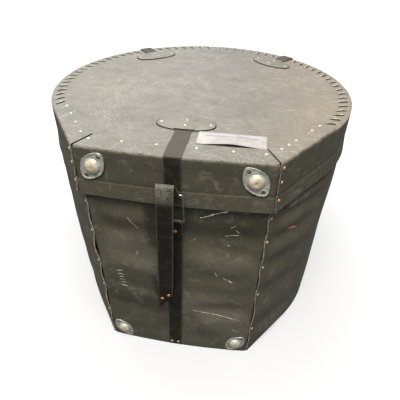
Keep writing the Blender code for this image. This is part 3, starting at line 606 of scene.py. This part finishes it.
def body_side_wall():
    reach, start = foot(*BODY), BODY[2] - 90
    outwards = polar(1, start)
    flat = [(1, t, side_point(BODY, t), outwards) for t in [2, 4, 7] + span(11, reach, 40)]
    arc = []
    for a in span(start, 180 - start, 190)[1:-1]:
        sx, begin = (1, start) if a < 90 else (-1, 180 - start)
        arc.append((sx, reach + MM_PER_DEGREE * abs(a - begin), polar(BODY_R, a), polar(1, a)))
    outer, inner = [], []
    for sx, t, at, out in flat + arc + [(-1, t, flip(at), flip(out)) for _, t, at, out in reversed(flat)]:
        bearing = degrees(atan2(at.y, at.x))
        if sx < 0:
            bearing %= 360
        columns = [], []
        for z in span(GAP, BODY_TOP_Z, 84):
            move = wall_move(sx, t, bearing, z, at)
            for column, off in zip(columns, (move, move - SHEET)):
                column.append(Vector((*(at + out * off), z)))
        outer.append(columns[0])
        inner.append(columns[1])
    build("case_side_wall", sheet_shell(outer, inner), [BODY_LOOK, EDGE], "body", ["body_side_wall"])


# Heights and sizes of the front panel's dents, on the right and on the left.
DENTS = {1: ((500, 5), (412, -5), (335, 4), (270, -4), (215, 3), (160, -6), (80, 3)),
         -1: ((470, 6), (360, -7), (290, 3), (240, -2), (120, -3), (60, 3))}


def panel_move(x, z):
    """Soft horizontal dents of the front panel. Near the middle strap they only go inwards."""
    bent = z + 20 * wobble(x, 0, z * 0.6, 150, 4)
    ripple = sum(size * smooth(at - 38, at + 38, bent) for at, size in DENTS[1 if x > 0 else -1])
    ripple += sin(z / 15 + 2.6 * wobble(x, 0, z, 200, 4))
    ripple += 3 * wobble(x * 0.6, 7, z * 1.6, 80, 6)
    sides = smooth(36, 80, abs(x))
    keep = smooth(570, 540, z) * smooth(2, 70, z) * smooth(212, 165, abs(x))
    clear_of_glides = 1 - bell(abs(x), 171.5, 48) * bell(z, 43, 60)
    return (ripple * sides - 2.2 * (1 - sides) * abs(ripple) / 3 - 1.5) * keep * clear_of_glides


def body_front_panel():
    half = [lambda plan, t=t: side_point(plan, t) for t in span(RETURN, 8, 8)]
    half += [lambda plan, k=k: rounded(plan, 6, k) for k in (1, 0.8, 0.6, 0.4, 0.2)]
    front = [lambda plan, u=u: front_point(plan, u) for u in span(0.975, -0.975, 110)]
    far = [lambda plan, spot=spot: flip(spot(plan)) for spot in reversed(half)]
    outer, inner = [], []
    for spot in half + front + far:
        for columns, inset in ((outer, 0), (inner, SHEET)):
            p = spot(grown(BODY, -inset, SHEET + GAP))
            columns.append([Vector((p.x, p.y - (panel_move(p.x, z) if spot in front else 0), z))
                            for z in span(GAP, BODY_TOP_Z, 84)])
    build("case_front_panel", sheet_shell(outer, inner), [FRONT_LOOK, EDGE], "body", ["body_front_panel"])


body_side_wall()
body_front_panel()


# ---------- lid ----------

def skirt_profile(top_z, inside=0):
    """(offset, z) up the skirt: flared below a soft crease, then up and round the shoulder."""
    rows = [(13 - 4 * (z - LID_EDGE_Z) / (CREASE_Z - LID_EDGE_Z), z)
            for z in span(LID_EDGE_Z, CREASE_Z - 3, 8)]
    rows += [(9.2, CREASE_Z - 1.6), (8.7, CREASE_Z - 0.3), (8, CREASE_Z + 0.9), (7.8, CREASE_Z + 2.4)]
    rows += [(8.3 - 1.3 * (z - CREASE_Z) / 77, z) for z in span(CREASE_Z + 5, top_z - 12, 9)]
    rows = [(offset - inside, z) for offset, z in rows]
    for a in span(0, 90, 7):
        turn = polar(1, a)
        rows.append((1.4 + (5.6 - inside) * turn.x, top_z - 6 + (6 - inside) * turn.y))
    return rows


def lid_section(place, tip, drop, move):
    """Outer and inner points of one upright slice of a lid band, from its lower edge to its flange's end."""
    pair = []
    for inside in (0, SHEET):
        line = [Vector((*place(offset + move(z)), z)) for offset, z in skirt_profile(HEIGHT - drop, inside)]
        line += [Vector((*place(1.4).lerp(tip, s), HEIGHT - drop - inside)) for s in (0.25, 0.5, 0.75, 1)]
        pair.append(line)
    return pair


def mirrored(sections):
    return [[[flip(p) for p in line] for line in pair] for pair in reversed(sections)]


FLANGE_K = len(skirt_profile(HEIGHT)) - 3
REACH = foot(*LID)
TANGENT = LID[2] - 90
STEP_ANGLE = TANGENT + FLANGE_END / radians(LID_R)
MITRE = FLANGE * tan(radians(LID[2] / 2))


def side_tip(t):
    """Where the side flange ends, for the slice at t along the flat."""
    whole, first = REACH + FLANGE_END, MITRE + 1.9
    return side_point(grown(LID, -FLANGE), first + (whole - 8 - first) * t / whole - MITRE)


def side_move(t, bearing):
    """The skirt stands off a little between its seam rivets and is pushed in here and there below."""
    def move(z):
        lift = between((700,) + LID_RIVETS + (548,), z) * 2.2 * exp(-max(0, t - 2) / 22)
        sag = -1.5 * smooth(640, 575, z) * max(0.1, 0.5 + 0.5 * wobble(t, bearing * 3, 0, 120, 5))
        return lift * smooth(661, 640, z) + sag
    return move


def lid_side_band():
    def on_flat(t):
        return lid_section(lambda off: side_point(grown(LID, off), t), side_tip(t), 0, side_move(t, 0))

    def on_round(a, tip, drop, t):
        place = lambda off: polar(LID_R + off, a)
        return lid_section(place, tip if isinstance(tip, Vector) else place(tip), drop, side_move(t, a))

    half = [on_flat(t) for t in [2, 3.5, 6, 10] + span(16, REACH, 42)]
    half += [on_round(STEP_ANGLE - 0.55, side_tip(REACH + FLANGE_END - 4), 0, 300),
             on_round(STEP_ANGLE - 0.45, 0.7, 0, 300), on_round(STEP_ANGLE - 0.2, 0.7, DROP, 300)]
    arc = [on_round(a, -LIP, DROP, 400) for a in span(STEP_ANGLE, 180 - STEP_ANGLE, 170)]
    # The side flange's cut ends get painted shadow.
    shape = sheet_shell(*zip(*(half + arc + mirrored(half))), lambda i, k: 2 if k >= FLANGE_K else 0,
                        end_look=lambda k: 3 if k >= FLANGE_K else 1)
    build("lid_side_skirt", shape, [LID_LOOK, EDGE, TOP_LOOK, PAINTED_SHADOW], "lid", ["lid_side_band"])


def front_tip(u):
    """Where the front flange ends, for the slice at u across the front."""
    return Vector(((corner(*grown(LID, -FLANGE)).x - 2) * u, -(LID[0] - FLANGE) - BOW * (1 - u * u)))


def front_move(x):
    def move(z):
        return (-1.6 * smooth(650, 575, z) * (0.5 + 0.5 * wobble(x, 3, z * 0.4, 130, 8))
                - 2.4 * bell(z, 634, 20) * (0.5 + 0.5 * wobble(x, 9, z, 70, 9)))
    return move


def lid_front_band():
    still = lambda z: 0
    skin = lambda off: grown(LID, off, SHEET + GAP)
    face = lambda u: lambda off: front_point(skin(off), u)
    across = lambda u: lid_section(face(u), front_tip(u), 0, front_move(u * 220))
    bend = lambda k: lambda off: rounded(skin(off), 7, k)
    side = lambda off: side_point(skin(off), RETURN)
    ends = [lid_section(bend(k), front_tip(u), 0, still) for k, u in ((0, 0.96), (0.25, 0.98), (0.45, 1))]
    ends += [lid_section(bend(k), bend(k)(off), drop, still)
             for k, off, drop in ((0.5, 1.3, 0), (0.68, 1.3, DROP), (0.75, -1.5, DROP), (1, -1.5, DROP))]
    ends.append(lid_section(side, side(-LIP), DROP, still))
    slices = span(0.02, 0.9, 46)
    sections = mirrored(ends) + [across(-u) for u in reversed(slices)] + [across(u) for u in slices] + ends
    bare = len(ends) - 5

    def face_look(i, k):
        return 2 if k >= FLANGE_K and bare <= i < len(sections) - bare - 1 else 0

    build("lid_front_skirt", sheet_shell(*zip(*sections), face_look), [LID_LOOK, EDGE, TOP_LOOK], "lid",
          ["lid_front_band"])


def top_outline(inset):
    """Outline of the top panel: under the flanges at the front, out to the rim round the back."""
    plan = grown(LID, 0.2 - inset)
    right = [rounded(plan, 12, k) for k in (0, 0.25, 0.5, 0.75, 1)]
    right += [side_point(plan, t) for t in span(30, 190, 12)]
    right += [polar(plan[1], a) for a in (TANGENT, STEP_ANGLE + 0.3)]
    start = STEP_ANGLE + 0.6
    arc = [polar(LID_R + 7 - inset, a) for a in span(start, 180 - start, 120)]
    front = [front_point(plan, u) for u in span(-0.94, 0.94, 30)]
    return front + right + arc + [flip(p) for p in reversed(right)]


def lid_top_panel():
    """A thin closed panel that sags a little in the middle and is not quite flat."""
    def sink(x, y):
        hold = max(bell(x, 0, 90) * bell(y, -262, 70), bell(x, 112, 95) * bell(y, -318, 60),
                   *(bell(x, s * 197, 90) * bell(y, 250, 80) for s in (-1, 1)))
        free = smooth(1, 0.55, hypot(x, y) / 330) * (1 - min(1, 1.15 * hold))
        return free * (-1.3 - wobble(x, y, 0, 170, 3))

    rows = [[Vector((*p, TOP_Z - low)) for p in top_outline(0)] for low in (SHEET, 1)]
    for s in [1] + span(0.97, 0.03, 34):
        rows.append([Vector((*(p * s), TOP_Z + (sink(*(p * s)) if s < 1 else 0))) for p in top_outline(1.2)])
    n, last = len(rows[0]), (len(rows) - 1) * len(rows[0])
    verts, faces, _ = tube(rows)
    verts += [Vector((0, 0, TOP_Z + sink(0, 0))), Vector((0, 0, TOP_Z - SHEET))]
    faces = faces[:-2] + [(last + j, last + (j + 1) % n, last + n) for j in range(n)]
    faces += [(j, (j + 1) % n, last + n + 1) for j in range(n)]
    picks = [1 if f[0] < n and len(f) == 4 else 0 for f in faces]
    build("lid_top", (verts, faces, picks), [TOP_LOOK, EDGE], "lid", ["lid_top_panel"])


def lid_lacing():
    """Whip stitches of flat lace over the rim, each beside a thin dark strip of painted shadow for the slot
    that it comes out of.
    """
    section = ((-1, -0.5), (-1, 0.15), (-0.5, 0.75), (0, 0.95), (0.5, 0.75), (1, 0.15), (1, -0.5))
    cord = ((0, -1.6), (0.03, 0.1), (0.1, 1.2), (0.24, 1.9), (0.42, 2.2), (0.62, 2.1), (0.8, 1.6),
            (0.93, 0.7), (1, -0.6))
    shadow_strip = ((-0.06, 0.05), (0.3, 0.12), (0.6, 0.12), (0.94, 0.05))
    parts = []
    for i, a in enumerate(span(STITCH_FROM, STITCH_TO, STITCHES)):
        lean = 1.6 + 1.1 * noise.noise(Vector((i * 1.7, 0.3, 0)))
        inner = 377 + 2.5 * noise.noise(Vector((i * 2.3, 7.1, 0)))
        outer = 403 - 3 * abs(noise.noise(Vector((i * 1.3, 4.4, 0))))
        out = polar(1, a)
        side = Vector((-out.y, out.x))
        beside = -4.7 if out.x > 0 else 4.7
        # The second strip of each pair is painted shadow beside the cord.
        for rows, width, rise, shift, look in ((cord, 2.9, 0.8, 0, 0), (shadow_strip, 2.1, 0.16, beside, 1)):
            loops = []
            for share, dz in rows:
                mid = polar(inner + (outer - inner) * share, a + lean * (share - 0.5)) + side * shift
                half = width * (1 if 0.08 < share < 0.92 else 0.72)
                loops.append([Vector((*(mid + side * half * u), TOP_Z + dz + rise * h)) for u, h in section])
            parts.append(tube(loops, look=look))
    build("lid_whip_lace", join(parts), [LACE, PAINTED_SHADOW], "lid", ["lid_lacing"])


lid_side_band()
lid_front_band()
lid_top_panel()
lid_lacing()


# ---------- rivets, glides and nameplate ----------

UP = Vector((0, 0, 1))


def rivets(node, parts, look, body, name=None):
    build(name or node.replace("rivet", "head"), join(parts), [look], body, [node])


def seam_rivets():
    for sx, tag in SIDE_NAME.items():
        normal = lambda plan: Vector((sx * polar(1, plan[2] - 90).x, polar(1, plan[2] - 90).y, 0))
        on_side = lambda plan, t, z=0: Vector((sx * side_point(plan, t).x, side_point(plan, t).y, z))

        out = normal(BODY)
        parts = [head(on_side(BODY, 9, z) + out * GAP, out, 4.2, 2.4, 8) for z in BODY_RIVETS[sx]]
        parts.append(box((100, -7, -8.1), (542, 7, -6.9), frame_at(on_side(BODY, 9), out, UP)))
        rivets(f"body_seam_rivets_{tag}", parts, TAN, "body")

        out = normal(LID)
        parts = [head(on_side(grown(LID, off), 11, z) + out * 0.1, out, 4.6, 2.6, off + 1.5)
                 for z, off in zip(LID_RIVETS, (7, 8, 9.4))]
        parts.append(box((580, -6, -0.6), (668.2, 6, 0.2), frame_at(on_side(LID, 11), out, UP)))
        rivets(f"lid_seam_rivets_{tag}", parts, COPPER if sx > 0 else FLANGE_RIVET, "lid")

        line = grown(LID, -FLANGE_RIVET_IN)
        shift = FLANGE_RIVET_IN * tan(radians(LID[2] / 2))
        places = [t - shift for t in SIDE_FLANGE_T[sx]]
        parts = [head(on_side(line, t, HEIGHT + 0.1), UP, 4.1, 1.6, 7.4) for t in places]
        along = polar(1, LID[2])
        m = frame_at(on_side(line, 0, HEIGHT), UP, (sx * along.x, along.y, 0))
        parts.append(box((places[0] - 7, -5, -7.8), (places[-1] + 7, 5, -6.6), m))
        rivets(f"lid_side_flange_rivets_{tag}", parts, FLANGE_RIVET, "lid", f"lid_flange_heads_{tag}")
    y = FRONT_RIVET_Y
    parts = [head((x, y, HEIGHT + 0.1), UP, 4.1, 1.6, 7.4) for x in FRONT_FLANGE_X]
    parts.append(box((-194, y - 5, HEIGHT - 7.8), (192, y + 5, HEIGHT - 6.6)))
    rivets("lid_front_flange_rivets", parts, FLANGE_RIVET, "lid", "lid_flange_heads_front")


def glide(node, x, z, plan, tilt, lean, body):
    """A pressed glide: lozenge flange with a rolled lip, a dished floor and a domed middle."""
    half = corner(*plan).x
    spot = front_point(plan, x / half)
    normal = Vector((2 * BOW * x / half ** 2, -1, tilt)).normalized()
    m = frame_at(Vector((*spot, z)) + normal * 0.45, normal, (cos(lean), 0, sin(lean)))
    steps = circle(72)
    rim = lambda scale: oval(39.5, 25.5, 1.6, steps, scale)
    ring = lambda r: [(r * cos(a), r * sin(a)) for a in steps]
    further = lambda p, q: max(p, q) if q > 0 else min(p, q)
    foot_of_dome = [tuple(map(further, p, q)) for p, q in zip(rim(0.86), ring(18.9))]
    rows = [(rim(0.985), 0), (rim(1), 0.5), (rim(1), 1.9), (rim(0.985), 2.5), (rim(0.955), 2.6),
            (rim(0.93), 2.2), (rim(0.9), 1.5), (foot_of_dome, 1.3)]
    dome_from = len(rows) + 3
    rows += [(ring(r), h) for r, h in (
        (18.6, 1.35), (17.6, 1.7), (16.6, 3.2), (15.9, 5.4), (14.6, 7.2), (12.2, 8.8), (9, 10),
        (5.6, 10.6), (4.4, 10.7), (3.9, 10.2), (3, 10), (1.4, 10.35), (0.4, 10.4))]
    verts, faces, _ = tube([[m @ Vector((*p, h)) for p in points] for points, h in rows])
    picks = [1 if f[0] // len(steps) >= dome_from else 0 for f in faces[:-2]] + [0, 1]
    parts = [(verts, faces, picks)]
    for s in (-28.5, 28.5):
        eye = frame_at(m @ Vector((s, 0, 1.3)), normal)
        stud = [(1.5, -7), (1.5, 0), (4.6, 0.16), (4.5, 0.5), (3.2, 1), (1.2, 1.2)]
        parts.append(turned([(6, -0.1), (6.2, 0.5), (5.7, 0.9), (5, 0.75), (4.7, 0.15)], 28, eye))
        parts.append(turned(stud, 20, eye, look=2))
    build(node.replace("glide", "steel_glide"), join(parts), [ZINC, CREAM, HOLE], body,
          [node, node + "_rivets"], sharp=50)


def glides():
    lid_skin, tilt = grown(LID, 8), radians(54)
    glide("glide_lid_left", -171.5, 637, lid_skin, 0.026, tilt, "lid")
    glide("glide_lid_right", 171.5, 637, lid_skin, 0.026, -tilt, "lid")
    glide("glide_bottom_left", -171.5, 43, BODY, 0, -tilt, "body")
    glide("glide_bottom_right", 171.5, 43, BODY, 0, tilt, "body")


def nameplate():
    """A thin plate whose front edge has sprung up, with a strip of painted shadow in the gap under it."""
    x0, x1, y0, y1 = 38, 187, -348, -292
    outer, inner, gap = [], [], []
    for x in span(x0, x1, 40):
        arch = sin(pi * (x - x0) / (x1 - x0))
        low = []
        for y in span(y0, y1, 10):
            h = 5.2 * arch ** 2.2 * (1 - (y - y0) / (y1 - y0)) ** 1.3 + 0.12 * wobble(x, y, 0, 30, 2) * arch
            low.append(Vector((x, y, TOP_Z + GAP + h)))
        inner.append(low)
        outer.append([p + UP * 0.8 for p in low])
        # A strip of painted shadow stands in the gap under the lifted edge.
        floor, roof = TOP_Z + 0.05, low[0].z + 0.1
        gap.append([Vector((x, y0 + back, z))
                    for back, z in ((0.8, floor), (0.8, roof), (1.6, roof), (1.6, floor))])
    build("blank_nameplate", join([sheet_shell(outer, inner, edge_look=0), tube(gap, look=1)]),
          [PLATE, PAINTED_SHADOW], "lid", ["nameplate"])
    parts = [head((x, y, TOP_Z + 1.35), UP, 2.9, 1.3, 5.5)
             for x in (x0 + 5, x1 - 5) for y in (y0 + 6, y1 - 6)]
    under = TOP_Z - SHEET
    parts.append(box((x0, y0 + 1, under - 1.2), (x1, y1 - 1, under - 0.4)))
    rivets("nameplate_rivets", parts, FLANGE_RIVET, "lid")


seam_rivets()
glides()
nameplate()


# ---------- straps ----------

def eased(path, step):
    """Points every few millimetres along a smooth curve through the path's own points."""
    pts = [Vector(p) for p in path]
    out = []
    for i, (a, b) in enumerate(zip(pts, pts[1:])):
        before, after = pts[max(0, i - 1)], pts[min(len(pts) - 1, i + 2)]
        if (a - before).length > 4 * (b - a).length:
            before = a + (before - a).normalized() * (b - a).length
        if (after - b).length > 4 * (b - a).length:
            after = b + (after - b).normalized() * (b - a).length
        count = max(1, int((b - a).to_3d().length / step))
        for k in (j / count for j in range(count)):
            out.append((a * 2 + (b - before) * k + (before * 2 - a * 5 + b * 4 - after) * k * k
                        + (a * 3 - before - b * 3 + after) * k ** 3) / 2)
    return out + [pts[-1]]


def ribbon(path, place, width=WEB, slant=0, seed=0, loose=0, step=3):
    """A woven strap along a path of (across, out, up, thickness), soft-edged, with its weave coordinates.

    slant is the slope of its cut end and loose is how uneven its middle is."""
    path = eased(path, step)
    last = len(path) - 1
    half = [(-0.5, 0), (-0.488, 0.38), (-0.46, 0.5), (-0.3, 0.47), (-0.1, 0.5)]
    half += [(-w, s) for w, s in reversed(half)]
    profile = half + [(w, -s) for w, s in reversed(half[1:-1])]
    loops, tags, run = [], [], 0
    for i, (u, n, z, t) in enumerate(path):
        before, after = path[max(0, i - 1)], path[min(last, i + 1)]
        d = Vector((after[1] - before[1], after[2] - before[2])).normalized()
        if i:
            run += dist((u, n, z), tuple(before)[:3])
        share = i / last
        skew = slant * smooth(1 - 60 / (last * step), 1, share)
        slack = loose * sin(pi * share)
        shift = 0.5 * slack * wobble(run, seed * 9, 0, 60, seed)
        loop = []
        for w, s in profile:
            off = t * s + slack * 0.6 * wobble(w * 30, run, 0, 45, seed + 4)
            loop.append(place(u + width * w + shift, n + d.y * off, z - d.x * off + skew * w))
            tags.append((width * w, run + skew * w, abs(w) * 2))
        loops.append(loop)
    return tube(loops), tags


def strap_piece(name, node, made, body, look=WEB_LOOK):
    shape, tags = made
    build(name, shape, [look], body, [node], tags, sharp=60)


def anchor_plate(name, node, m, side):
    """An oval of board pressed down over the strap that runs out beneath it."""
    sides = 96
    top, base = [], []
    for share, lower, upper in ((0.02, 0, 2.35), (0.25, 0, 2.35), (0.5, 0, 2.35), (0.7, 0, 2.35),
                                (0.84, 0, 2.35), (0.93, 0, 2.3), (0.975, 0, 2.1), (1, 0.35, 1.7)):
        ring = [(x, y, 2.35 * smooth(24.5, 19.8, abs(x)) * smooth(-34, -24, y * side))
                for x, y in oval(70, 34, 2.2, circle(sides), share)]
        for rings, level in ((top, upper), (base, lower)):
            rings.append([m @ Vector((x, y, cover + level)) for x, y, cover in ring])
    verts, faces, _ = tube(top + base[::-1])
    # The rim faces get painted shadow, for the gap under the plate's edge.
    rim = range((len(top) - 2) * sides, len(top) * sides)
    picks = [int(i in rim) for i in range(len(faces))]
    build(name, (verts, faces, picks), [PLATE_FIBRE, PAINTED_SHADOW], "lid", [node])


def around(centre, radius, angles):
    """Strap path points round a centre given by (out, up)."""
    return [(0, *(Vector(centre) + polar(radius, b)), WEB_T) for b in angles]


def wire_frame(place, bar, heel, half_w):
    """Closed loop of wire round a rounded rectangle, from the top bar down to the heel."""
    down = Vector(heel) - Vector(bar)
    length = down.length
    down.normalize()
    outwards = Vector((-down.y, down.x))
    bend = BUCKLE_BEND
    far, deep = half_w - bend, length - bend
    loops = []
    for u, v, start in ((far, bend, -90), (far, deep, 0), (-far, deep, 90), (-far, bend, 180)):
        for b in span(start, start + 90, 8):
            loop = []
            for g in circle(16):
                at = Vector((u, v)) + polar(bend + WIRE_R * cos(g), b)
                loop.append(place(at.x, *(Vector(bar) + down * at.y + outwards * WIRE_R * sin(g))))
            loops.append(loop)
    return tube(loops, closed=True)


def strap_set(tag, azimuth, shift, plate_out, u0, aside, lean, low_lean, front_set):
    """Anchor plate, upper strap, buckle with its roller, tail and lower strap, all in one upright plane."""
    n, across = (Vector((*polar(1, azimuth + turn), 0)) for turn in (0, 90))
    wall = BODY[0] + BOW if front_set else BODY_R
    seed = azimuth / 37

    def place(u, out, up):
        return n * (wall + out) + across * (u + u0) + UP * up

    top = TOP_Z + GAP + WEB_T / 2
    m = frame_at(place(0, plate_out, TOP_Z + GAP), UP, across)
    side = 1 if (m.to_3x3() @ Vector((0, 1, 0))).dot(n) > 0 else -1
    anchor_plate(f"{tag}_oval_plate", f"{tag}_anchor_plate", m, side)
    parts = [head(m @ Vector((x, y, h)), UP, 3.9, 1.7, h + 4.6)
             for x, y, h in ((-58, 0, 2.35), (58, 0, 2.35), (0, -14, 4.7), (0, 14, 4.7))]
    parts.append(box((-64, -19, -4.9), (64, 19, -3.9), m))
    rivets(f"{tag}_anchor_rivets", parts, FLANGE_RIVET, "lid", f"{tag}_plate_heads")

    if front_set:
        rim = [(-57, top), (-49.5, HEIGHT + 1.4), (0, HEIGHT + 1.4), (3.6, HEIGHT + 1.35),
               (7.4, HEIGHT + 0.1), (9.3, HEIGHT - 2.6)]
    else:
        rim = [(-41, top), (-33.5, HEIGHT + 0.05), (1.5, HEIGHT + 0.05), (4.2, HEIGHT - 0.5),
               (5.9, HEIGHT - 2.6)]
    rim += [(9.6 + shift, HEIGHT - 9), (11.6 + shift, CREASE_Z), (12.75 + shift, CUT_Z)]
    path = [(0, out, z, WEB_T) for out, z in [(plate_out - 27, top)] + rim]
    strap_piece(f"{tag}_web_upper", f"{tag}_upper_strap", ribbon(path, place, seed=seed), "lid")

    bar, heel = (22 + shift, BAR_Z), (13.5 + shift, HEEL_Z)
    build(f"{tag}_wire_buckle", wire_frame(place, bar, heel, WEB / 2 + 1.5 + WIRE_R), [WIRE], f"{tag}_buckle",
          [f"{tag}_buckle_frame"])
    half = [(2.58, -15.2), (3.6, -15.4), (ROLLER_R - 0.05, -15), (ROLLER_R, -14.4)]
    profile = half + [(r, -h) for r, h in reversed(half)]
    roller = turned(profile, 32, frame_at(place(0, *bar), across), closed=True)
    build(f"{tag}_roller_tube_shell", roller, [WIRE], f"{tag}_roller_tube", [f"{tag}_roller"])

    wrap = ROLLER_R + 0.5 + WEB_T / 2
    path = [(0, bar[0] - wrap, bar[1] + 4, WEB_T)] + around(bar, wrap, range(180, 361, 15))
    path.append((0.7 * aside, bar[0] + wrap, FOLD_Z - 2, WEB_T))
    strap_piece(f"{tag}_web_loop", f"{tag}_strap_loop", ribbon(path, place, WEB - 0.5, seed=seed, step=1.5),
                f"{tag}_buckle")

    sway = lambda z: aside + lean * (FOLD_Z - z) / (FOLD_Z - TAIL_LOW_Z)
    doubled = 2 * WEB_T + 0.4
    path = [(aside, *point[1:]) for point in around((34 + shift, FOLD_Z), FOLD_R, range(140, 9, -12))]
    path += [(sway(z), out + shift, z, thick) for out, z, thick in (
        (40, 612, WEB_T), (39.2, 565, WEB_T), (34.5, 490, WEB_T), (28, 410, WEB_T), (23, 335, WEB_T),
        (21.6, TAIL_DOUBLE_Z, WEB_T), (21.4, TAIL_DOUBLE_Z - 4, doubled), (20, TAIL_LOW_Z, doubled))]
    strap_piece(f"{tag}_web_tail", f"{tag}_tail", ribbon(path, place, slant=56, seed=seed, loose=0.9),
                f"{tag}_tail_end", TAIL_LOOK)
    tail_slope = 1.4 / 59
    normal = (n - UP * tail_slope).normalized()
    spots = [place(sway(z) + du, 20 + shift + tail_slope * (z - TAIL_LOW_Z), z) + normal * 2.2
             for du, z in ((-8.5, TAIL_RIVET_Z - 7), (8.5, TAIL_RIVET_Z + 9))]
    parts = [head(at + normal * 0.2, normal, 4.8, 2, 5.6) for at in spots]
    m = frame_at((spots[0] + spots[1]) / 2, normal, spots[1] - spots[0])
    parts.append(box((-16, -4, -5.8), (16, 4, -4.9), m))
    rivets(f"{tag}_tail_rivets", parts, COPPER, f"{tag}_tail_end")

    wrap = WIRE_R + 0.6 + WEB_T / 2
    slope = (heel[0] - wrap - LOW_STRAP_OUT) / (HEEL_Z - 6 - LOW_BEND_Z)
    turned_back = lambda z: LOW_STRAP_OUT + slope * (z - LOW_BEND_Z) + WEB_T + 0.45
    path = [(low_lean, LOW_STRAP_OUT, 6, WEB_T), (low_lean * 0.14, LOW_STRAP_OUT, LOW_BEND_Z, WEB_T),
            (0, heel[0] - wrap, HEEL_Z - 6, WEB_T)]
    path += around(heel, wrap, range(180, -31, -15))
    path += [(0, turned_back(z), z, WEB_T) for z in (492, 478, 464)]
    strap_piece(f"{tag}_web_lower", f"{tag}_lower_strap", ribbon(path, place, seed=seed + 1), "body")
    normal = (n - UP * slope).normalized()
    at = place(1, turned_back(484) + WEB_T / 2, 484) + normal * 0.2
    rivets(f"{tag}_fold_rivet", [head(at, normal, 4.8, 2, 5.4)], COPPER, "body")
    parts = [head(place(low_lean + du, 2.6, LOW_RIVET_Z), n, 4.4, 2, 12) for du in (-10, 10)]
    m = frame_at(place(low_lean, 0, LOW_RIVET_Z), n, across)
    parts.append(box((-16, -5, -9.8), (16, 5, -8.8), m))
    rivets(f"{tag}_lower_rivets", parts, TAN, "body")


strap_set("front", -90, 0, -146, 2, -11, -18, -12, True)
strap_set("rear_right", 51.5, -3.5, -90.5, 0, 0, -12, -4, False)
strap_set("rear_left", 128.5, -3.5, -90.5, 0, 0, 12, 4, False)


# ---------- CAD pieces that stay ----------

for node, mat in (("body_bottom_panel", BODY_LOOK), ("base_board", PLY)):
    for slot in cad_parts[node].material_slots:
        slot.material = mat


# ---------- floor, light and camera ----------

def studio():
    """A pale world, brighter round the horizon."""
    world = bpy.data.worlds.new("white_studio")
    scene.world = world
    world.use_nodes = True
    tree = world.node_tree
    where, up, spread, shade = (tree.nodes.new("ShaderNode" + kind)
                                for kind in ("TexCoord", "SeparateXYZ", "MapRange", "ValToRGB"))
    spread.inputs["From Min"].default_value = -1
    for source, target in ((where.outputs["Generated"], up.inputs[0]),
                           (up.outputs[2], spread.inputs["Value"]), (spread.outputs[0], shade.inputs[0]),
                           (shade.outputs[0], tree.nodes["Background"].inputs["Color"])):
        tree.links.new(source, target)
    stops = shade.color_ramp.elements
    for element, (place, level) in zip([stops[0], stops[1], stops.new(0.5), stops.new(0.5)],
                                       ((0.4, 0.22), (0.86, 0.42), (0.49, 1), (0.62, 1))):
        element.position = place
        element.color = (level, level, level, 1)


def pale_floor():
    mesh = bpy.data.meshes.new("floor")
    corners = ((-40, -40), (40, -40), (40, 40), (-40, 40))
    mesh.from_pydata([(x, y, -0.0005) for x, y in corners], [], [(0, 1, 2, 3)])
    floor = in_scene("floor", mesh)
    floor.visible_diffuse = floor.visible_glossy = floor.visible_shadow = False
    pale = Look("pale_floor", rough=0.9, specular=0.1)
    pale.set("Base Color", (0.2, 0.2, 0.2))
    pale.set("Emission Color", (1, 1, 1))
    away = pale.vector("LENGTH", a=pale.coords)["Value"]
    # The glow is lower near the case: a painted shadow round it, besides the shadow the floor receives.
    pale.set("Emission Strength", pale.ramp(away, 0.45, 1.45, 0.5, 0.92))
    mesh.materials.append(pale.mat)


def panel(name, at, look_at, wide, tall, radiance, tint):
    light = bpy.data.lights.new(name, "AREA")
    light.shape = "RECTANGLE"
    light.size, light.size_y = wide, tall
    light.energy = radiance * pi * wide * tall
    light.color = tint
    lamp = in_scene(name, light)
    lamp.location = at
    lamp.rotation_euler = (Vector(look_at) - Vector(at)).to_track_quat("-Z", "Y").to_euler()
    lamp.visible_camera = False


def look_down(at, azimuth, height, roll, lens):
    """The camera, in metres, looking from an azimuth right of the front and an angle above level."""
    camera = in_scene("camera", bpy.data.cameras.new("camera"))
    camera.data.sensor_width, camera.data.lens = 36, lens
    az, el, roll = map(radians, (azimuth, height, roll))
    back = Vector((sin(az) * cos(el), -cos(az) * cos(el), sin(el)))
    right = Vector((cos(az), sin(az), 0))
    camera.matrix_world = frame_at(at, back, right * cos(roll) + back.cross(right) * sin(roll))
    scene.camera = camera


scene.view_settings.view_transform = "Standard"
scene.view_settings.look = "None"
studio()
pale_floor()
panel("key", (0.1, -1.45, 3.35), (0, -0.2, 0.4), 1.7, 1.3, 30, (1, 0.985, 0.95))
panel("overhead_back", (-1.1, 1.6, 2.7), (0, -0.1, 0.6), 3.4, 2.6, 2.4, (1, 0.98, 0.94))
look_down((0.1445, -1.0176, 1.0465), 8.05, 37.43, 1.15, 32.6)
